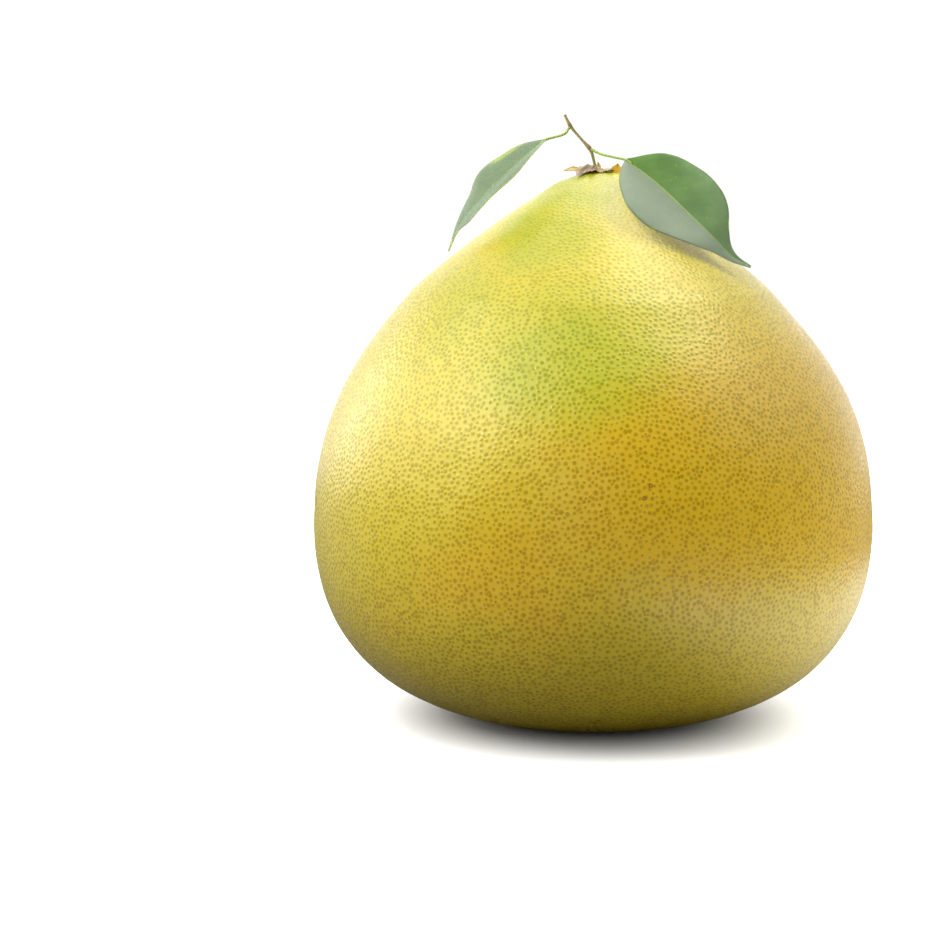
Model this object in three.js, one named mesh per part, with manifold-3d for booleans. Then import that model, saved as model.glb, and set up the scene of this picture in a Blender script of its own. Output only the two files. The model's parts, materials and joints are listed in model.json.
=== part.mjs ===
// A pear-shaped pomelo on its cut twig with two leaves, resting on its blossom end.
// Millimetres, +Z up. The origin is the centre of the flat spot that the fruit rests on,
// and -Y is the side with the right-hand leaf in front of the shoulder.

import * as THREE from 'three';
import { mergeVertices } from 'three/addons/utils/BufferGeometryUtils.js';
import Module from 'manifold-3d';

// ---------------------------------------------------------------- driving dimensions

const GAP = 0.3; // clearance between pieces that touch

// Fruit: a solid of revolution with a flat foot, a wide belly, a conical shoulder and a domed crown.
const BELLY_RADIUS = 90;
const BELLY_HEIGHT = 62;
const FRUIT_HEIGHT = 176.2;
const REST_RADIUS = 18;
const SHOULDER_RADIUS = 57;
const SHOULDER_HEIGHT = 138.3;
const SHOULDER_SLOPE = THREE.MathUtils.degToRad(48);
const FRUIT_SIDES = 72;

// How far each curve of the profile keeps the direction of its ends.
const REST_REACH = 36;
const BELLY_REACH_DOWN = 46.5;
const BELLY_REACH_UP = 38.5;
const SHOULDER_REACH_DOWN = 26.5;
const SHOULDER_REACH_UP = 4;
const CROWN_REACH = 13;

// The fruit isn't quite round: soft lobes, a shoulder that leans to -X, and a crown tilted up to +X.
const LOBE_DEPTH = 0.45;
const LOBE_COUNT = 5;
const SHOULDER_LEAN = 0.8;
const LEAN_START = 105;
const CROWN_TILT = 0.04;
const TILT_EDGE = 26;
// Soft knobs beside the calyx: how far to +X each stands, how high it is and how far it reaches.
const KNOBS = [
  { x: 12.5, rise: 2.9, reach: 6.2 },
  { x: -12.5, rise: 0.7, reach: 4 },
];

// Calyx: a dried collar of papery lobes round the foot of the twig.
const CALYX_THICKNESS = 0.7;
const CALYX_COLLAR = 2.8;
const CALYX_SIDES = 72; // points round the collar
const CALYX_RINGS = 4;
const CALYX_CURL = 2.4; // how late along a lobe its rise comes
// Each lobe's direction and half width in degrees, and its reach and the rise of its tip.
const SEPALS = [
  { turn: 186, reach: 9.4, width: 12, rise: -0.2 },
  { turn: 222, reach: 5.6, width: 16, rise: -0.7 },
  { turn: 305, reach: 5.2, width: 17, rise: 0.1 },
  { turn: 358, reach: 8.9, width: 14, rise: 1.3 },
  { turn: 78, reach: 4.8, width: 16, rise: 1.6 },
  { turn: 140, reach: 5.8, width: 17, rise: 1.2 },
];

// Twig: its middle line, and its radius at fractions of its length, thick at two nodes.
const TWIG_LINE = [
  [0.8, 0, 176.6], [-0.05, 0, 179.7], [-0.6, 0, 182], [-1.9, 0, 184.2],
  [-4.6, 0, 187.4], [-7.4, 0, 190.2], [-8.4, 0, 192.2], [-9.2, 0, 193.9],
];
const TWIG_RADII = [
  [0, 0.62], [0.08, 0.52], [0.24, 0.5], [0.33, 0.82], [0.41, 0.6], [0.5, 0.47],
  [0.66, 0.46], [0.74, 0.56], [0.8, 0.72], [0.86, 0.56], [0.92, 0.46], [1, 0.46],
];
const TWIG_SIDES = 10;
const TWIG_STEPS = 30;

// Leaves: the outline of a blade as half widths at fractions of its length.
const BLADE_OUTLINE = [
  [0, 0.06], [0.05, 0.36], [0.12, 0.66], [0.22, 0.88], [0.34, 1], [0.46, 0.97],
  [0.57, 0.84], [0.66, 0.64], [0.74, 0.4], [0.82, 0.2], [0.91, 0.09], [1, 0.03],
];
const BLADE_THICKNESS = 0.7;
const BLADE_STEPS = 32;
const BLADE_STRIPS = 4; // on each side of the midrib
const PETIOLE_SIDES = 8;
const PETIOLE_STEPS = 16;
const PETIOLE_RADII = [[0, 0.42], [0.12, 0.36], [0.8, 0.36], [1, 0.42]];

// Roll turns a blade about its midrib, from standing upright across Y to lying along Y.
// Fold lifts each half off the flat. Both run evenly from the base to the tip. Lag moves the
// widest place of the half that leans to +Z, and then of the other half, towards the tip.
const LEAF_LEFT = {
  petiole: [
    [-8.4, -0.5, 189.4], [-8.9, -1, 188.4], [-10.4, -1.3, 187.5],
    [-13, -1, 186.8], [-15.8, -0.3, 185.9], [-18.4, -1.8, 183.7],
  ],
  midrib: [
    [-15.8, -0.3, 185.9], [-25, -5.7, 178.1], [-35.5, -8.7, 168], [-42.7, -6.7, 159.2], [-46.3, -5.9, 150.8],
  ],
  halfWidth: 12.8,
  roll: [74, 68],
  fold: [14, -3],
  lag: [0.95, 1.26],
  arch: 0.05,
  waves: 2.5,
  waveHeight: 0.35,
};
const LEAF_RIGHT = {
  petiole: [[0.55, -0.5, 182.4], [2, -2.4, 181.8], [6, -6.3, 180.8], [10, -9.8, 180], [13.6, -11.2, 177.4]],
  midrib: [
    [10, -9.8, 180], [19.5, -13.3, 173], [28.7, -18.5, 164.7],
    [37.2, -23.2, 156.7], [43.3, -23.2, 150.6], [49.1, -22.4, 147.4],
  ],
  halfWidth: 16.4,
  roll: [42, 41],
  fold: [12, -10],
  lag: [1.12, 0.89],
  arch: 0.04,
  waves: 2,
  waveHeight: 0.4,
};

// ---------------------------------------------------------------- shared geometry

const wasm = await Module();
wasm.setup();

const UP = new THREE.Vector3(0, 0, 1);
const AWAY = new THREE.Vector3(0, 1, 0);
const radians = THREE.MathUtils.degToRad;
const STATION_SAMPLES = 240;
const MERGE_DISTANCE = 1e-4;

function curveThrough(points) {
  return new THREE.CatmullRomCurve3(points.map((point) => new THREE.Vector3(...point)));
}

// Smooth interpolation between [place, value] stations, read as a function of the place.
function stations(pairs) {
  const curve = new THREE.SplineCurve(pairs.map(([place, value]) => new THREE.Vector2(place, value)));
  const samples = curve.getPoints(STATION_SAMPLES);
  return (place) => {
    const next = samples.findIndex((sample) => sample.x >= place);
    if (next <= 0) return samples[Math.max(next, 0)].y;
    const before = samples[next - 1];
    const after = samples[next];
    const share = (place - before.x) / (after.x - before.x);
    return THREE.MathUtils.lerp(before.y, after.y, share);
  };
}

// The directions across a line: 'side' leans to +Z and 'away' to +Y. 'hand' is 1 where
// line, side and away are right-handed in that order, and -1 where they aren't.
function crossFrame(tangent) {
  const away = AWAY.clone().addScaledVector(tangent, -AWAY.dot(tangent)).normalize();
  const side = new THREE.Vector3().crossVectors(tangent, away);
  const hand = side.dot(UP) < 0 ? 1 : -1;
  if (hand > 0) side.negate();
  return { side, away, hand };
}

// A round rod along a line, with its radius given at fractions of the length.
function taperedRod(line, radii, sides, steps) {
  const curve = curveThrough(line);
  const radiusAt = stations(radii);
  const profile = [new THREE.Vector2(0, 0)];
  for (let i = 0; i <= steps; i += 1) {
    profile.push(new THREE.Vector2(radiusAt(i / steps), i / steps));
  }
  profile.push(new THREE.Vector2(0, 1));
  const geometry = new THREE.LatheGeometry(profile, sides);
  const position = geometry.getAttribute('position');
  for (let i = 0; i < position.count; i += 1) {
    const share = position.getY(i);
    const { side, away, hand } = crossFrame(curve.getTangentAt(share));
    const point = curve.getPointAt(share);
    point.addScaledVector(away, position.getX(i)).addScaledVector(side, hand * position.getZ(i));
    position.setXYZ(i, point.x, point.y, point.z);
  }
  return geometry;
}

function manifoldFrom(geometry) {
  const bare = geometry.clone();
  bare.deleteAttribute('normal');
  bare.deleteAttribute('uv');
  const merged = mergeVertices(bare, MERGE_DISTANCE);
  return new wasm.Manifold(new wasm.Mesh({
    numProp: 3,
    vertProperties: merged.getAttribute('position').array,
    triVerts: new Uint32Array(merged.index.array),
  }));
}

function geometryFrom(solid) {
  const mesh = solid.getMesh();
  const geometry = new THREE.BufferGeometry();
  geometry.setAttribute('position', new THREE.BufferAttribute(mesh.vertProperties, 3));
  geometry.setIndex(new THREE.BufferAttribute(mesh.triVerts, 1));
  geometry.computeVertexNormals();
  return geometry;
}

// A closed sheet: a grid of points on its upper face, repeated below and joined round the rim.
// When 'ring' is true the rows close on themselves, so the sheet has an outer and an inner rim.
function sheetSolid(upper, lower, ring) {
  const rows = upper.length;
  const columns = upper[0].length;
  const corners = [...upper.flat(), ...lower.flat()];
  const top = (row, column) => (row % rows) * columns + column;
  const bottom = (row, column) => rows * columns + top(row, column);
  const index = [];
  const quad = (a, b, c, d) => index.push(a, b, c, a, c, d);
  const lastRow = ring ? rows : rows - 1;
  for (let row = 0; row < lastRow; row += 1) {
    for (let column = 0; column < columns - 1; column += 1) {
      quad(top(row, column), top(row + 1, column), top(row + 1, column + 1), top(row, column + 1));
      index.push(bottom(row, column), bottom(row + 1, column + 1), bottom(row + 1, column));
      index.push(bottom(row, column), bottom(row, column + 1), bottom(row + 1, column + 1));
    }
    quad(top(row, 0), bottom(row, 0), bottom(row + 1, 0), top(row + 1, 0));
    const last = columns - 1;
    quad(top(row + 1, last), bottom(row + 1, last), bottom(row, last), top(row, last));
  }
  if (!ring) {
    for (let column = 0; column < columns - 1; column += 1) {
      quad(top(0, column), top(0, column + 1), bottom(0, column + 1), bottom(0, column));
      const end = rows - 1;
      quad(top(end, column + 1), top(end, column), bottom(end, column), bottom(end, column + 1));
    }
  }
  const geometry = new THREE.BufferGeometry();
  geometry.setAttribute('position', new THREE.Float32BufferAttribute(corners.flatMap((c) => c.toArray()), 3));
  geometry.setIndex(index);
  geometry.computeVertexNormals();
  return geometry;
}

function namedMesh(name, geometry, color, roughness) {
  const material = new THREE.MeshStandardMaterial({ color, roughness, metalness: 0 });
  const mesh = new THREE.Mesh(geometry, material);
  mesh.name = name;
  return mesh;
}

// ---------------------------------------------------------------- fruit

// The profile as [radius, height] points from the middle of the foot to the middle of the crown.
function fruitProfile() {
  const at = (radius, height) => new THREE.Vector2(radius, height);
  const shoulder = at(SHOULDER_RADIUS, SHOULDER_HEIGHT);
  const downhill = at(Math.cos(SHOULDER_SLOPE), -Math.sin(SHOULDER_SLOPE));
  const lower = new THREE.CubicBezierCurve(
    at(REST_RADIUS, 0),
    at(REST_RADIUS + REST_REACH, 0),
    at(BELLY_RADIUS, BELLY_HEIGHT - BELLY_REACH_DOWN),
    at(BELLY_RADIUS, BELLY_HEIGHT),
  );
  const upper = new THREE.CubicBezierCurve(
    at(BELLY_RADIUS, BELLY_HEIGHT),
    at(BELLY_RADIUS, BELLY_HEIGHT + BELLY_REACH_UP),
    shoulder.clone().addScaledVector(downhill, SHOULDER_REACH_DOWN),
    shoulder,
  );
  const crown = new THREE.CubicBezierCurve(
    shoulder,
    shoulder.clone().addScaledVector(downhill, -SHOULDER_REACH_UP),
    at(CROWN_REACH, FRUIT_HEIGHT),
    at(0, FRUIT_HEIGHT),
  );
  return [
    at(0, 0),
    ...lower.getSpacedPoints(12),
    ...upper.getSpacedPoints(11).slice(1),
    ...crown.getSpacedPoints(15).slice(1),
  ];
}

// How far the soft knobs lift the crown at a place on it.
function knobLift(x, y) {
  return KNOBS.reduce((lift, knob) => {
    const away = Math.hypot(x - knob.x, y) / knob.reach;
    return lift + knob.rise * Math.exp(-(away ** 2));
  }, 0);
}

function fruitGeometry() {
  const { smoothstep } = THREE.MathUtils;
  const geometry = new THREE.LatheGeometry(fruitProfile(), FRUIT_SIDES);
  geometry.rotateX(Math.PI / 2);
  const position = geometry.getAttribute('position');
  for (let i = 0; i < position.count; i += 1) {
    const x = position.getX(i);
    const y = position.getY(i);
    const z = position.getZ(i);
    const lobe = LOBE_DEPTH * Math.sin((Math.PI * z) / FRUIT_HEIGHT) ** 2;
    const swell = 1 + (lobe * Math.sin(-LOBE_COUNT * Math.atan2(y, x))) / BELLY_RADIUS;
    const leaning = smoothstep(z, LEAN_START, SHOULDER_HEIGHT) - smoothstep(z, SHOULDER_HEIGHT, FRUIT_HEIGHT);
    const onCrown = z > SHOULDER_HEIGHT ? 1 - smoothstep(Math.hypot(x, y), 0, TILT_EDGE) : 0;
    const lift = z > SHOULDER_HEIGHT ? knobLift(x, y) : 0;
    const height = z + CROWN_TILT * x * onCrown + lift;
    position.setXYZ(i, x * swell - SHOULDER_LEAN * leaning, y * swell, height);
  }
  return geometry;
}

// ---------------------------------------------------------------- calyx

// How strongly a sepal stands out at an angle, from 0 between the sepals to 1 on its middle.
function sepalShare(angle, sepal) {
  const turn = THREE.MathUtils.euclideanModulo(angle - radians(sepal.turn) + Math.PI, 2 * Math.PI) - Math.PI;
  return Math.exp(-((turn / radians(sepal.width)) ** 2));
}

function calyxGeometry() {
  const hole = TWIG_RADII[0][1] + GAP;
  const [twigX, twigY] = TWIG_LINE[0];
  const floor = FRUIT_HEIGHT + GAP;
  const upper = [];
  const lower = [];
  for (let side = 0; side < CALYX_SIDES; side += 1) {
    const angle = (side / CALYX_SIDES) * 2 * Math.PI;
    let reach = CALYX_COLLAR;
    let rise = 0;
    SEPALS.forEach((sepal) => {
      const share = sepalShare(angle, sepal);
      reach += share * (sepal.reach - CALYX_COLLAR);
      rise += share * sepal.rise;
    });
    const above = [];
    const below = [];
    for (let ring = 0; ring <= CALYX_RINGS; ring += 1) {
      const share = ring / CALYX_RINGS;
      const radius = THREE.MathUtils.lerp(hole, reach, share);
      const x = twigX * (1 - share) + radius * Math.cos(angle);
      const y = twigY * (1 - share) + radius * Math.sin(angle);
      const lift = rise * share ** CALYX_CURL;
      below.push(new THREE.Vector3(x, y, floor + lift));
      above.push(new THREE.Vector3(x, y, floor + lift + CALYX_THICKNESS));
    }
    upper.push(above.reverse());
    lower.push(below.reverse());
  }
  return sheetSolid(upper, lower, true);
}

// ---------------------------------------------------------------- leaves

// One blade: its midrib runs through the grid's middle column, base first.
function bladeGeometry(leaf) {
  const midrib = curveThrough(leaf.midrib);
  const widthAt = stations(BLADE_OUTLINE);
  const upper = [];
  const lower = [];
  for (let step = 0; step <= BLADE_STEPS; step += 1) {
    const along = step / BLADE_STEPS;
    const { side, away } = crossFrame(midrib.getTangentAt(along));
    const roll = radians(THREE.MathUtils.lerp(...leaf.roll, along));
    const fold = radians(THREE.MathUtils.lerp(...leaf.fold, along));
    const face = side.clone().multiplyScalar(Math.sin(roll)).addScaledVector(away, -Math.cos(roll));
    const above = [];
    const below = [];
    for (let strip = -BLADE_STRIPS; strip <= BLADE_STRIPS; strip += 1) {
      const out = Math.abs(strip) / BLADE_STRIPS;
      const turn = strip >= 0 ? roll - fold : roll + fold;
      const breadth = widthAt(along ** (strip >= 0 ? leaf.lag[0] : leaf.lag[1]));
      const width = leaf.halfWidth * breadth;
      const across = side.clone().multiplyScalar(Math.cos(turn)).addScaledVector(away, Math.sin(turn));
      const swing = Math.sin(2 * Math.PI * leaf.waves * along + Math.sign(strip));
      const wave = leaf.waveHeight * breadth * swing * out ** 2;
      const bulge = leaf.arch * width * Math.sin(Math.PI * out);
      const point = midrib.getPointAt(along);
      point.addScaledVector(across, Math.sign(strip) * out * width);
      point.addScaledVector(face, wave + bulge);
      above.push(point.clone().addScaledVector(face, BLADE_THICKNESS / 2));
      below.push(point.clone().addScaledVector(face, -BLADE_THICKNESS / 2));
    }
    upper.push(above);
    lower.push(below);
  }
  const { hand } = crossFrame(midrib.getTangentAt(0));
  return hand > 0 ? sheetSolid(lower, upper, false) : sheetSolid(upper, lower, false);
}

// A leaf is its blade and its petiole, grown together.
function leafGeometry(leaf) {
  const blade = manifoldFrom(bladeGeometry(leaf));
  const petiole = manifoldFrom(taperedRod(leaf.petiole, PETIOLE_RADII, PETIOLE_SIDES, PETIOLE_STEPS));
  return geometryFrom(blade.add(petiole));
}

// ---------------------------------------------------------------- the pomelo

const pomelo = new THREE.Group();
pomelo.name = 'pomelo';
pomelo.add(namedMesh('fruit', fruitGeometry(), 0xdccb6a, 0.38));
pomelo.add(namedMesh('calyx', calyxGeometry(), 0x8b7043, 0.85));
pomelo.add(namedMesh('twig', taperedRod(TWIG_LINE, TWIG_RADII, TWIG_SIDES, TWIG_STEPS), 0x6f6a3c, 0.8));
pomelo.add(namedMesh('leaf_left', leafGeometry(LEAF_LEFT), 0x6f9440, 0.35));
pomelo.add(namedMesh('leaf_right', leafGeometry(LEAF_RIGHT), 0x5c8a33, 0.35));

export default pomelo;
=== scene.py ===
import json
import math

import bmesh
import bpy
import numpy as np
from bpy.props import FloatProperty, FloatVectorProperty, IntProperty, PointerProperty
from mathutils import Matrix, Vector
from mathutils.geometry import delaunay_2d_cdt

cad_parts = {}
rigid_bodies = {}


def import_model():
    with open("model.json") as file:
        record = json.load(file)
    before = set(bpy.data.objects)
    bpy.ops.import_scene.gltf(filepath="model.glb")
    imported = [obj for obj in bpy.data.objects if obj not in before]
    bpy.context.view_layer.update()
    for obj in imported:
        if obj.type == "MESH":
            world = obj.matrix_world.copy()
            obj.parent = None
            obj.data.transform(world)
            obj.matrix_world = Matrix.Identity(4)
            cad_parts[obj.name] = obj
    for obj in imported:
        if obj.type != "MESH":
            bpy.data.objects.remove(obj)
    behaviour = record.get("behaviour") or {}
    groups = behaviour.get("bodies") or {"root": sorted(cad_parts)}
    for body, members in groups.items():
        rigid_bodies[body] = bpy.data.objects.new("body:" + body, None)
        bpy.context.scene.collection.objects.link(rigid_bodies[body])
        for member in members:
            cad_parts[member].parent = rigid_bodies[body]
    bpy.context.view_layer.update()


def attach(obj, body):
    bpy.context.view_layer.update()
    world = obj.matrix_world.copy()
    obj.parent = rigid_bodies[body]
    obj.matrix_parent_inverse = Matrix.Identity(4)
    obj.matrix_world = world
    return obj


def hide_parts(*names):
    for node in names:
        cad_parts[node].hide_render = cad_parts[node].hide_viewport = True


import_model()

bl_info = {
    "name": "Whole Pomelo",
    "version": (1, 0, 0),
    "blender": (4, 5, 0),
    "location": "3D View > Sidebar > Pomelo",
    "description": "Dresses a whole pomelo: its rind with oil glands, dried calyx, twig and two leaves",
    "category": "Object",
}

BODY = "root"
MM = 0.001

# ---------------------------------------------------------------- the fruit's form, as in the solids

BELLY_RADIUS = 90 * MM
BELLY_HEIGHT = 62 * MM
FRUIT_HEIGHT = 176.2 * MM
REST_RADIUS = 18 * MM
SHOULDER_RADIUS = 57 * MM
SHOULDER_HEIGHT = 138.3 * MM
SHOULDER_SLOPE = math.radians(48)
REST_REACH = 36 * MM
BELLY_REACH_DOWN = 46.5 * MM
BELLY_REACH_UP = 38.5 * MM
SHOULDER_REACH_DOWN = 26.5 * MM
SHOULDER_REACH_UP = 4 * MM
CROWN_REACH = 13 * MM
LOBE_DEPTH = 0.45 * MM
LOBE_COUNT = 5
SHOULDER_LEAN = 0.8 * MM
LEAN_START = 105 * MM
CROWN_TILT = 0.04
TILT_EDGE = 26 * MM
KNOBS = ((12.5, 2.9, 6.2), (-12.5, 0.7, 4))  # knobs beside the calyx: place across, rise and reach
LINE_SAMPLES = 1500  # points along each of the profile's curves

# ---------------------------------------------------------------- oil glands

GOLDEN_TURN = math.pi * (3 - math.sqrt(5))
CELL_SHARE = math.sqrt(3) / 2  # area of one gland's cell over its spacing squared
CROWN_ZONE = (150 * MM, 174 * MM)  # heights over which the glands close up
FOOT_RING = 6  # glands round the middle of the foot
FOOT_FADE = (0.6 * MM, 7 * MM)  # heights over which the rind's relief grows in
GLAND_SHAKE = 0.55  # how far a gland is moved off its even place, in spacings
GLAND_ROUNDS = 2  # how often the gaps between glands are evened out after that
CROWN_HOLD = 4 * MM  # how near the crown's middle the glands are moved less
FOOT_GAP = 1.3  # room left for the ring of glands round the foot's middle, in spacings
EVENED_FROM = 6 * MM  # how far down from the crown's middle the evening out starts
SAME_PLACE = 1e-12  # glands nearer than this count as one
LEAST_RADIUS = 0.02 * MM  # stands in for the fruit's radius at its very middle
SIZE_SPREAD = 0.16  # how much the glands' sizes differ
SIZE_RANGE = (0.55, 1.35)  # the least and the greatest, beside an ordinary one
ATLAS_DISCS = ((0.325, 0.325, 0.315), (0.735, 0.735, 0.255))  # centre and radius of each half's map
DISC_FILL = 0.985  # the share of its disc that a map takes up

# ---------------------------------------------------------------- twig and stalks

TWIG_LINE = [  # the twig's middle line, in millimetres
    (0.5, 0, 176.2), (-0.15, 0, 179.3), (-0.85, 0, 181.8), (-1.55, 0, 183.3), (-2.75, 0, 184.6),
    (-5.2, 0, 187.3), (-7.6, 0, 190.2), (-8.7, 0, 192.2), (-9.5, 0, 193.9),
]
TWIG_RADII = [  # its radius at shares of its length
    (0, 0.56), (0.08, 0.46), (0.2, 0.46), (0.3, 0.52), (0.37, 0.7), (0.46, 0.5), (0.54, 0.43),
    (0.68, 0.43), (0.76, 0.5), (0.82, 0.66), (0.88, 0.52), (0.93, 0.44), (1, 0.46),
]
TWIG_STEPS = 150
PETIOLE_STEPS = 90
LOWER_NODE, UPPER_NODE = 0.37, 0.82  # where the leaf stalks leave the twig, along it
PETIOLE_RADII = [(0, 0.34), (0.06, 0.47), (0.14, 0.41), (0.8, 0.4), (1, 0.46)]

# ---------------------------------------------------------------- leaves

BLADE_OUTLINE = [  # half width at shares of a blade's length, beside the widest
    (0, 0.06), (0.05, 0.36), (0.12, 0.66), (0.22, 0.88), (0.34, 1), (0.46, 0.97),
    (0.57, 0.84), (0.66, 0.64), (0.74, 0.4), (0.82, 0.2), (0.91, 0.09), (1, 0.03),
]
LEAVES = {  # lines in millimetres and angles in degrees, given at the foot and at the tip
    "leaf_left": {
        "petiole": [
            (-7.5, 0, 190.3), (-8.45, -0.5, 189.3), (-8.9, -1, 188.4), (-10.4, -1.3, 187.5),
            (-13, -1, 186.8), (-15.8, -0.3, 185.9), (-17, -1, 184.9),
        ],
        "midrib": [
            (-15.8, -0.3, 185.9), (-25, -5.7, 178.1), (-35.5, -8.7, 168),
            (-42.7, -6.7, 159.2), (-46.3, -5.9, 150.8),
        ],
        "half_width": 12.8,
        "roll": (74, 68),
        "fold": (12, 7),
        "crease": (14, 5),
        "bloom_and_sheen": ((0.42, 0.42), (0.4, 0.4)),
        "lag": (0.95, 1.26),
        "arch": 0.05,
        "waves": 2.5,
        "wave_height": 0.35,
    },
    "leaf_right": {
        "petiole": [
            (-1.5, 0, 183.2), (-0.3, -0.6, 182.6), (2, -2.4, 181.6), (6, -6.3, 180.8),
            (10, -9.8, 180), (11.6, -10.4, 178.9),
        ],
        "midrib": [
            (10, -9.8, 180), (19.5, -13.3, 173), (28.7, -18.5, 164.7),
            (37.2, -23.2, 156.7), (43.3, -23.2, 150.6), (49.1, -22.4, 147.4),
        ],
        "half_width": 16.4,
        "roll": (42, 41),
        "fold": (12, -10),
        "crease": (15, 9),
        "bloom_and_sheen": ((0.0, 0.35), (0.62, 0.58)),
        "lag": (1.12, 0.89),
        "arch": 0.04,
        "waves": 2,
        "wave_height": 0.4,
    },
}

YELLOWED = {  # each spot's place along and across the blade, and its reach both ways
    "leaf_left": [
        (0.22, 0.85, 0.13, 0.26), (0.66, 1.0, 0.03, 0.25), (0.97, 0.0, 0.06, 1.5),
        (0.87, -1.0, 0.05, 0.3), (0.5, 1.0, 0.7, 0.07), (0.5, -1.0, 0.7, 0.06),
    ],
    "leaf_right": [(0.72, 1.0, 0.04, 0.08), (0.5, -1.0, 0.03, 0.06)],
}

# ---------------------------------------------------------------- calyx

CALYX_COLLAR = 2.8  # reach between the lobes, in millimetres
CALYX_CURL = 3.5  # how late along a lobe its rise comes
SEPALS = [  # turn and width in degrees, reach, rise, arch, tint from grey through straw to amber
    (184, 17, 7.0, 0.4, 0.6, 0.3), (216, 17, 6.8, -1.2, 1.6, 0.1), (256, 25, 5.6, -0.1, 1.6, 0.0),
    (300, 13, 4.2, -1.0, 0.6, 0.3), (335, 19, 6.6, -0.3, 0.0, 0.6), (10, 20, 7.0, -0.2, 0.0, 0.6),
    (85, 20, 4.6, 1.3, 0.3, 0.5), (140, 20, 6.2, 1.0, 0.5, 0.2),
]
SEPAL_STEPS = (28, 12)  # faces along and across a sepal that stands apart
LOOSE_SEPALS = [  # foot, middle, tip, half widths at the foot and the tip, the way across, tint
    ((-4.4, -0.8, 176.3), (-7.4, -1.4, 176.7), (-9.7, -1.2, 176.2), (0.9, 1.1), (0, 0.8, 0.6), 0.6),
    ((6.9, -1.8, 175.6), (7.2, -1.0, 176.8), (7.6, -0.1, 178.5), (2.1, 1.4), (1, 0.2, 0), 1.0),
    ((1.3, 1.4, 176.2), (1.35, 2.2, 177.4), (1.15, 2.6, 179.0), (0.9, 0.7), (1, 0, 0), 0.5),
]
CALYX_RAGGED = 0.04  # how uneven the lobes' edges are, as a share of their reach
CALYX_HOLE = 0.55  # radius of the hole for the twig

# ---------------------------------------------------------------- the camera and its aim

CAMERA_PLACE = (0, -1.0, 0.2255)
CAMERA_PITCH = 8.351  # degrees below the horizon
CAMERA_YAW = 2.228  # degrees to the left of straight on
CAMERA_LENS = 118.86
SENSOR_WIDTH = 36
NEAREST_SEEN = 0.01  # nearer than this, nothing is drawn

# ---------------------------------------------------------------- studio

FLOOR_RADIUS = 0.85
FLOOR_SIDES = 96
FLOOR_ROUGHNESS = 0.5
FLOOR_GLOW = (0.03, 0.11)  # distances over which the floor starts to glow
FLOOR_STRENGTH = 2.0  # the most that the floor can glow
FLOOR_LIT_SIDE = (0.98, -0.2, 0)  # the side from which the floor throws light up at the fruit
FLOOR_LIT_EDGE = (0.05, 0.15)  # how far toward that side the thrown light grows in
FLOOR_LIT_REACH = (0.34, 0.2)  # distances over which it fades out
WHITE = (1, 1, 1, 1)
BLACK = (0, 0, 0, 1)
SURROUND_SEEN = 1.05  # how bright the surround is to look at
LIT_MIDDLE = (0, 0, 0.09)
LAMP_DISTANCE = 1.1
SHONE_PAST = {  # the leaves that don't block each kind of lamp
    "soft": ["leaf_left"],
    "shine": ["leaf_left", "leaf_right"],
}
# Each lamp's azimuth and elevation in degrees, size, share of a full lamp's power, and kind. A soft
# lamp lights the surfaces and shows in no highlight. A shine lamp gives highlights alone.
LAMPS = [
    ("key", -56, 44, 0.8, 1.12, "soft"),
    ("front_fill", -10, 15, 0.6, 0.16, "soft"),
    ("right_high", 86, 41, 0.8, 0.6, "soft"),
    ("right_low", 84, 8, 0.6, 0.03, "soft"),
    ("overhead_back", 180, 60, 0.6, 0.24, "shine"),
    ("overhead_front", -10, 78, 0.5, 0.06, "shine"),
    ("right_overhead", 100, 64, 0.6, 0.28, "shine"),
    ("right_overhead_back", 135, 70, 0.6, 0.2, "shine"),
    ("right", 90, 30, 0.5, 0.03, "shine"),
    ("left_high", -80, 50, 1.0, 0.25, "shine"),
    ("left", -80, 30, 1.0, 0.6, "shine"),
    ("left_back", -120, 15, 0.5, 0.24, "shine"),
]

# ---------------------------------------------------------------- settings


def srgb(red, green, blue):
    """A colour given in 0 to 255 display steps, as the linear value that nodes use."""
    steps = np.array([red, green, blue]) / 255
    linear = np.where(steps <= 0.04045, steps / 12.92, ((steps + 0.055) / 1.055) ** 2.4)
    return (*linear.tolist(), 1.0)


def length_setting(name, description, default):
    return FloatProperty(
        name=name, description=description, default=default, min=0, precision=5, unit="LENGTH"
    )


def colour_setting(name, description, default):
    return FloatVectorProperty(
        name=name, description=description, default=default, size=4, min=0, max=1, subtype="COLOR"
    )


class RindSettings(bpy.types.PropertyGroup):
    gland_spacing: length_setting("Gland Spacing", "Distance between glands on the belly", 1.9 * MM)
    crown_spacing: length_setting("Crown Spacing", "Distance between glands on the crown", 1.5 * MM)
    gland_size: length_setting("Gland Size", "Width of an ordinary oil gland", 1.2 * MM)
    gland_relief: length_setting("Gland Relief", "How far a gland stands out of the rind", 0.06 * MM)
    unevenness: length_setting("Unevenness", "Depth of the rind's soft dents", 0.16 * MM)
    dent_size: length_setting("Dent Size", "Width of the rind's soft dents", 14 * MM)
    skin: colour_setting("Skin", "Pale yellow skin between the glands", srgb(231, 209, 52))
    gold: colour_setting("Gold", "Skin on the riper side", srgb(233, 190, 27))
    ochre: colour_setting("Ochre", "Skin low on the fruit", srgb(221, 198, 30))
    green: colour_setting("Green", "Unripe patches", srgb(184, 193, 38))
    gland_low: colour_setting("Lower Glands", "Tint of the gland spots low down", srgb(212, 203, 8))
    gland: colour_setting("Gland Tint", "What a gland does to the skin's colour", srgb(205, 210, 10))
    mark: colour_setting("Mark", "Small healed marks", srgb(138, 92, 10))
    scar: colour_setting("Scar", "Pale middle of a healed mark", srgb(212, 186, 128))
    seed: IntProperty(name="Seed", description="Changes the glands' places", default=11, min=0)


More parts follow.
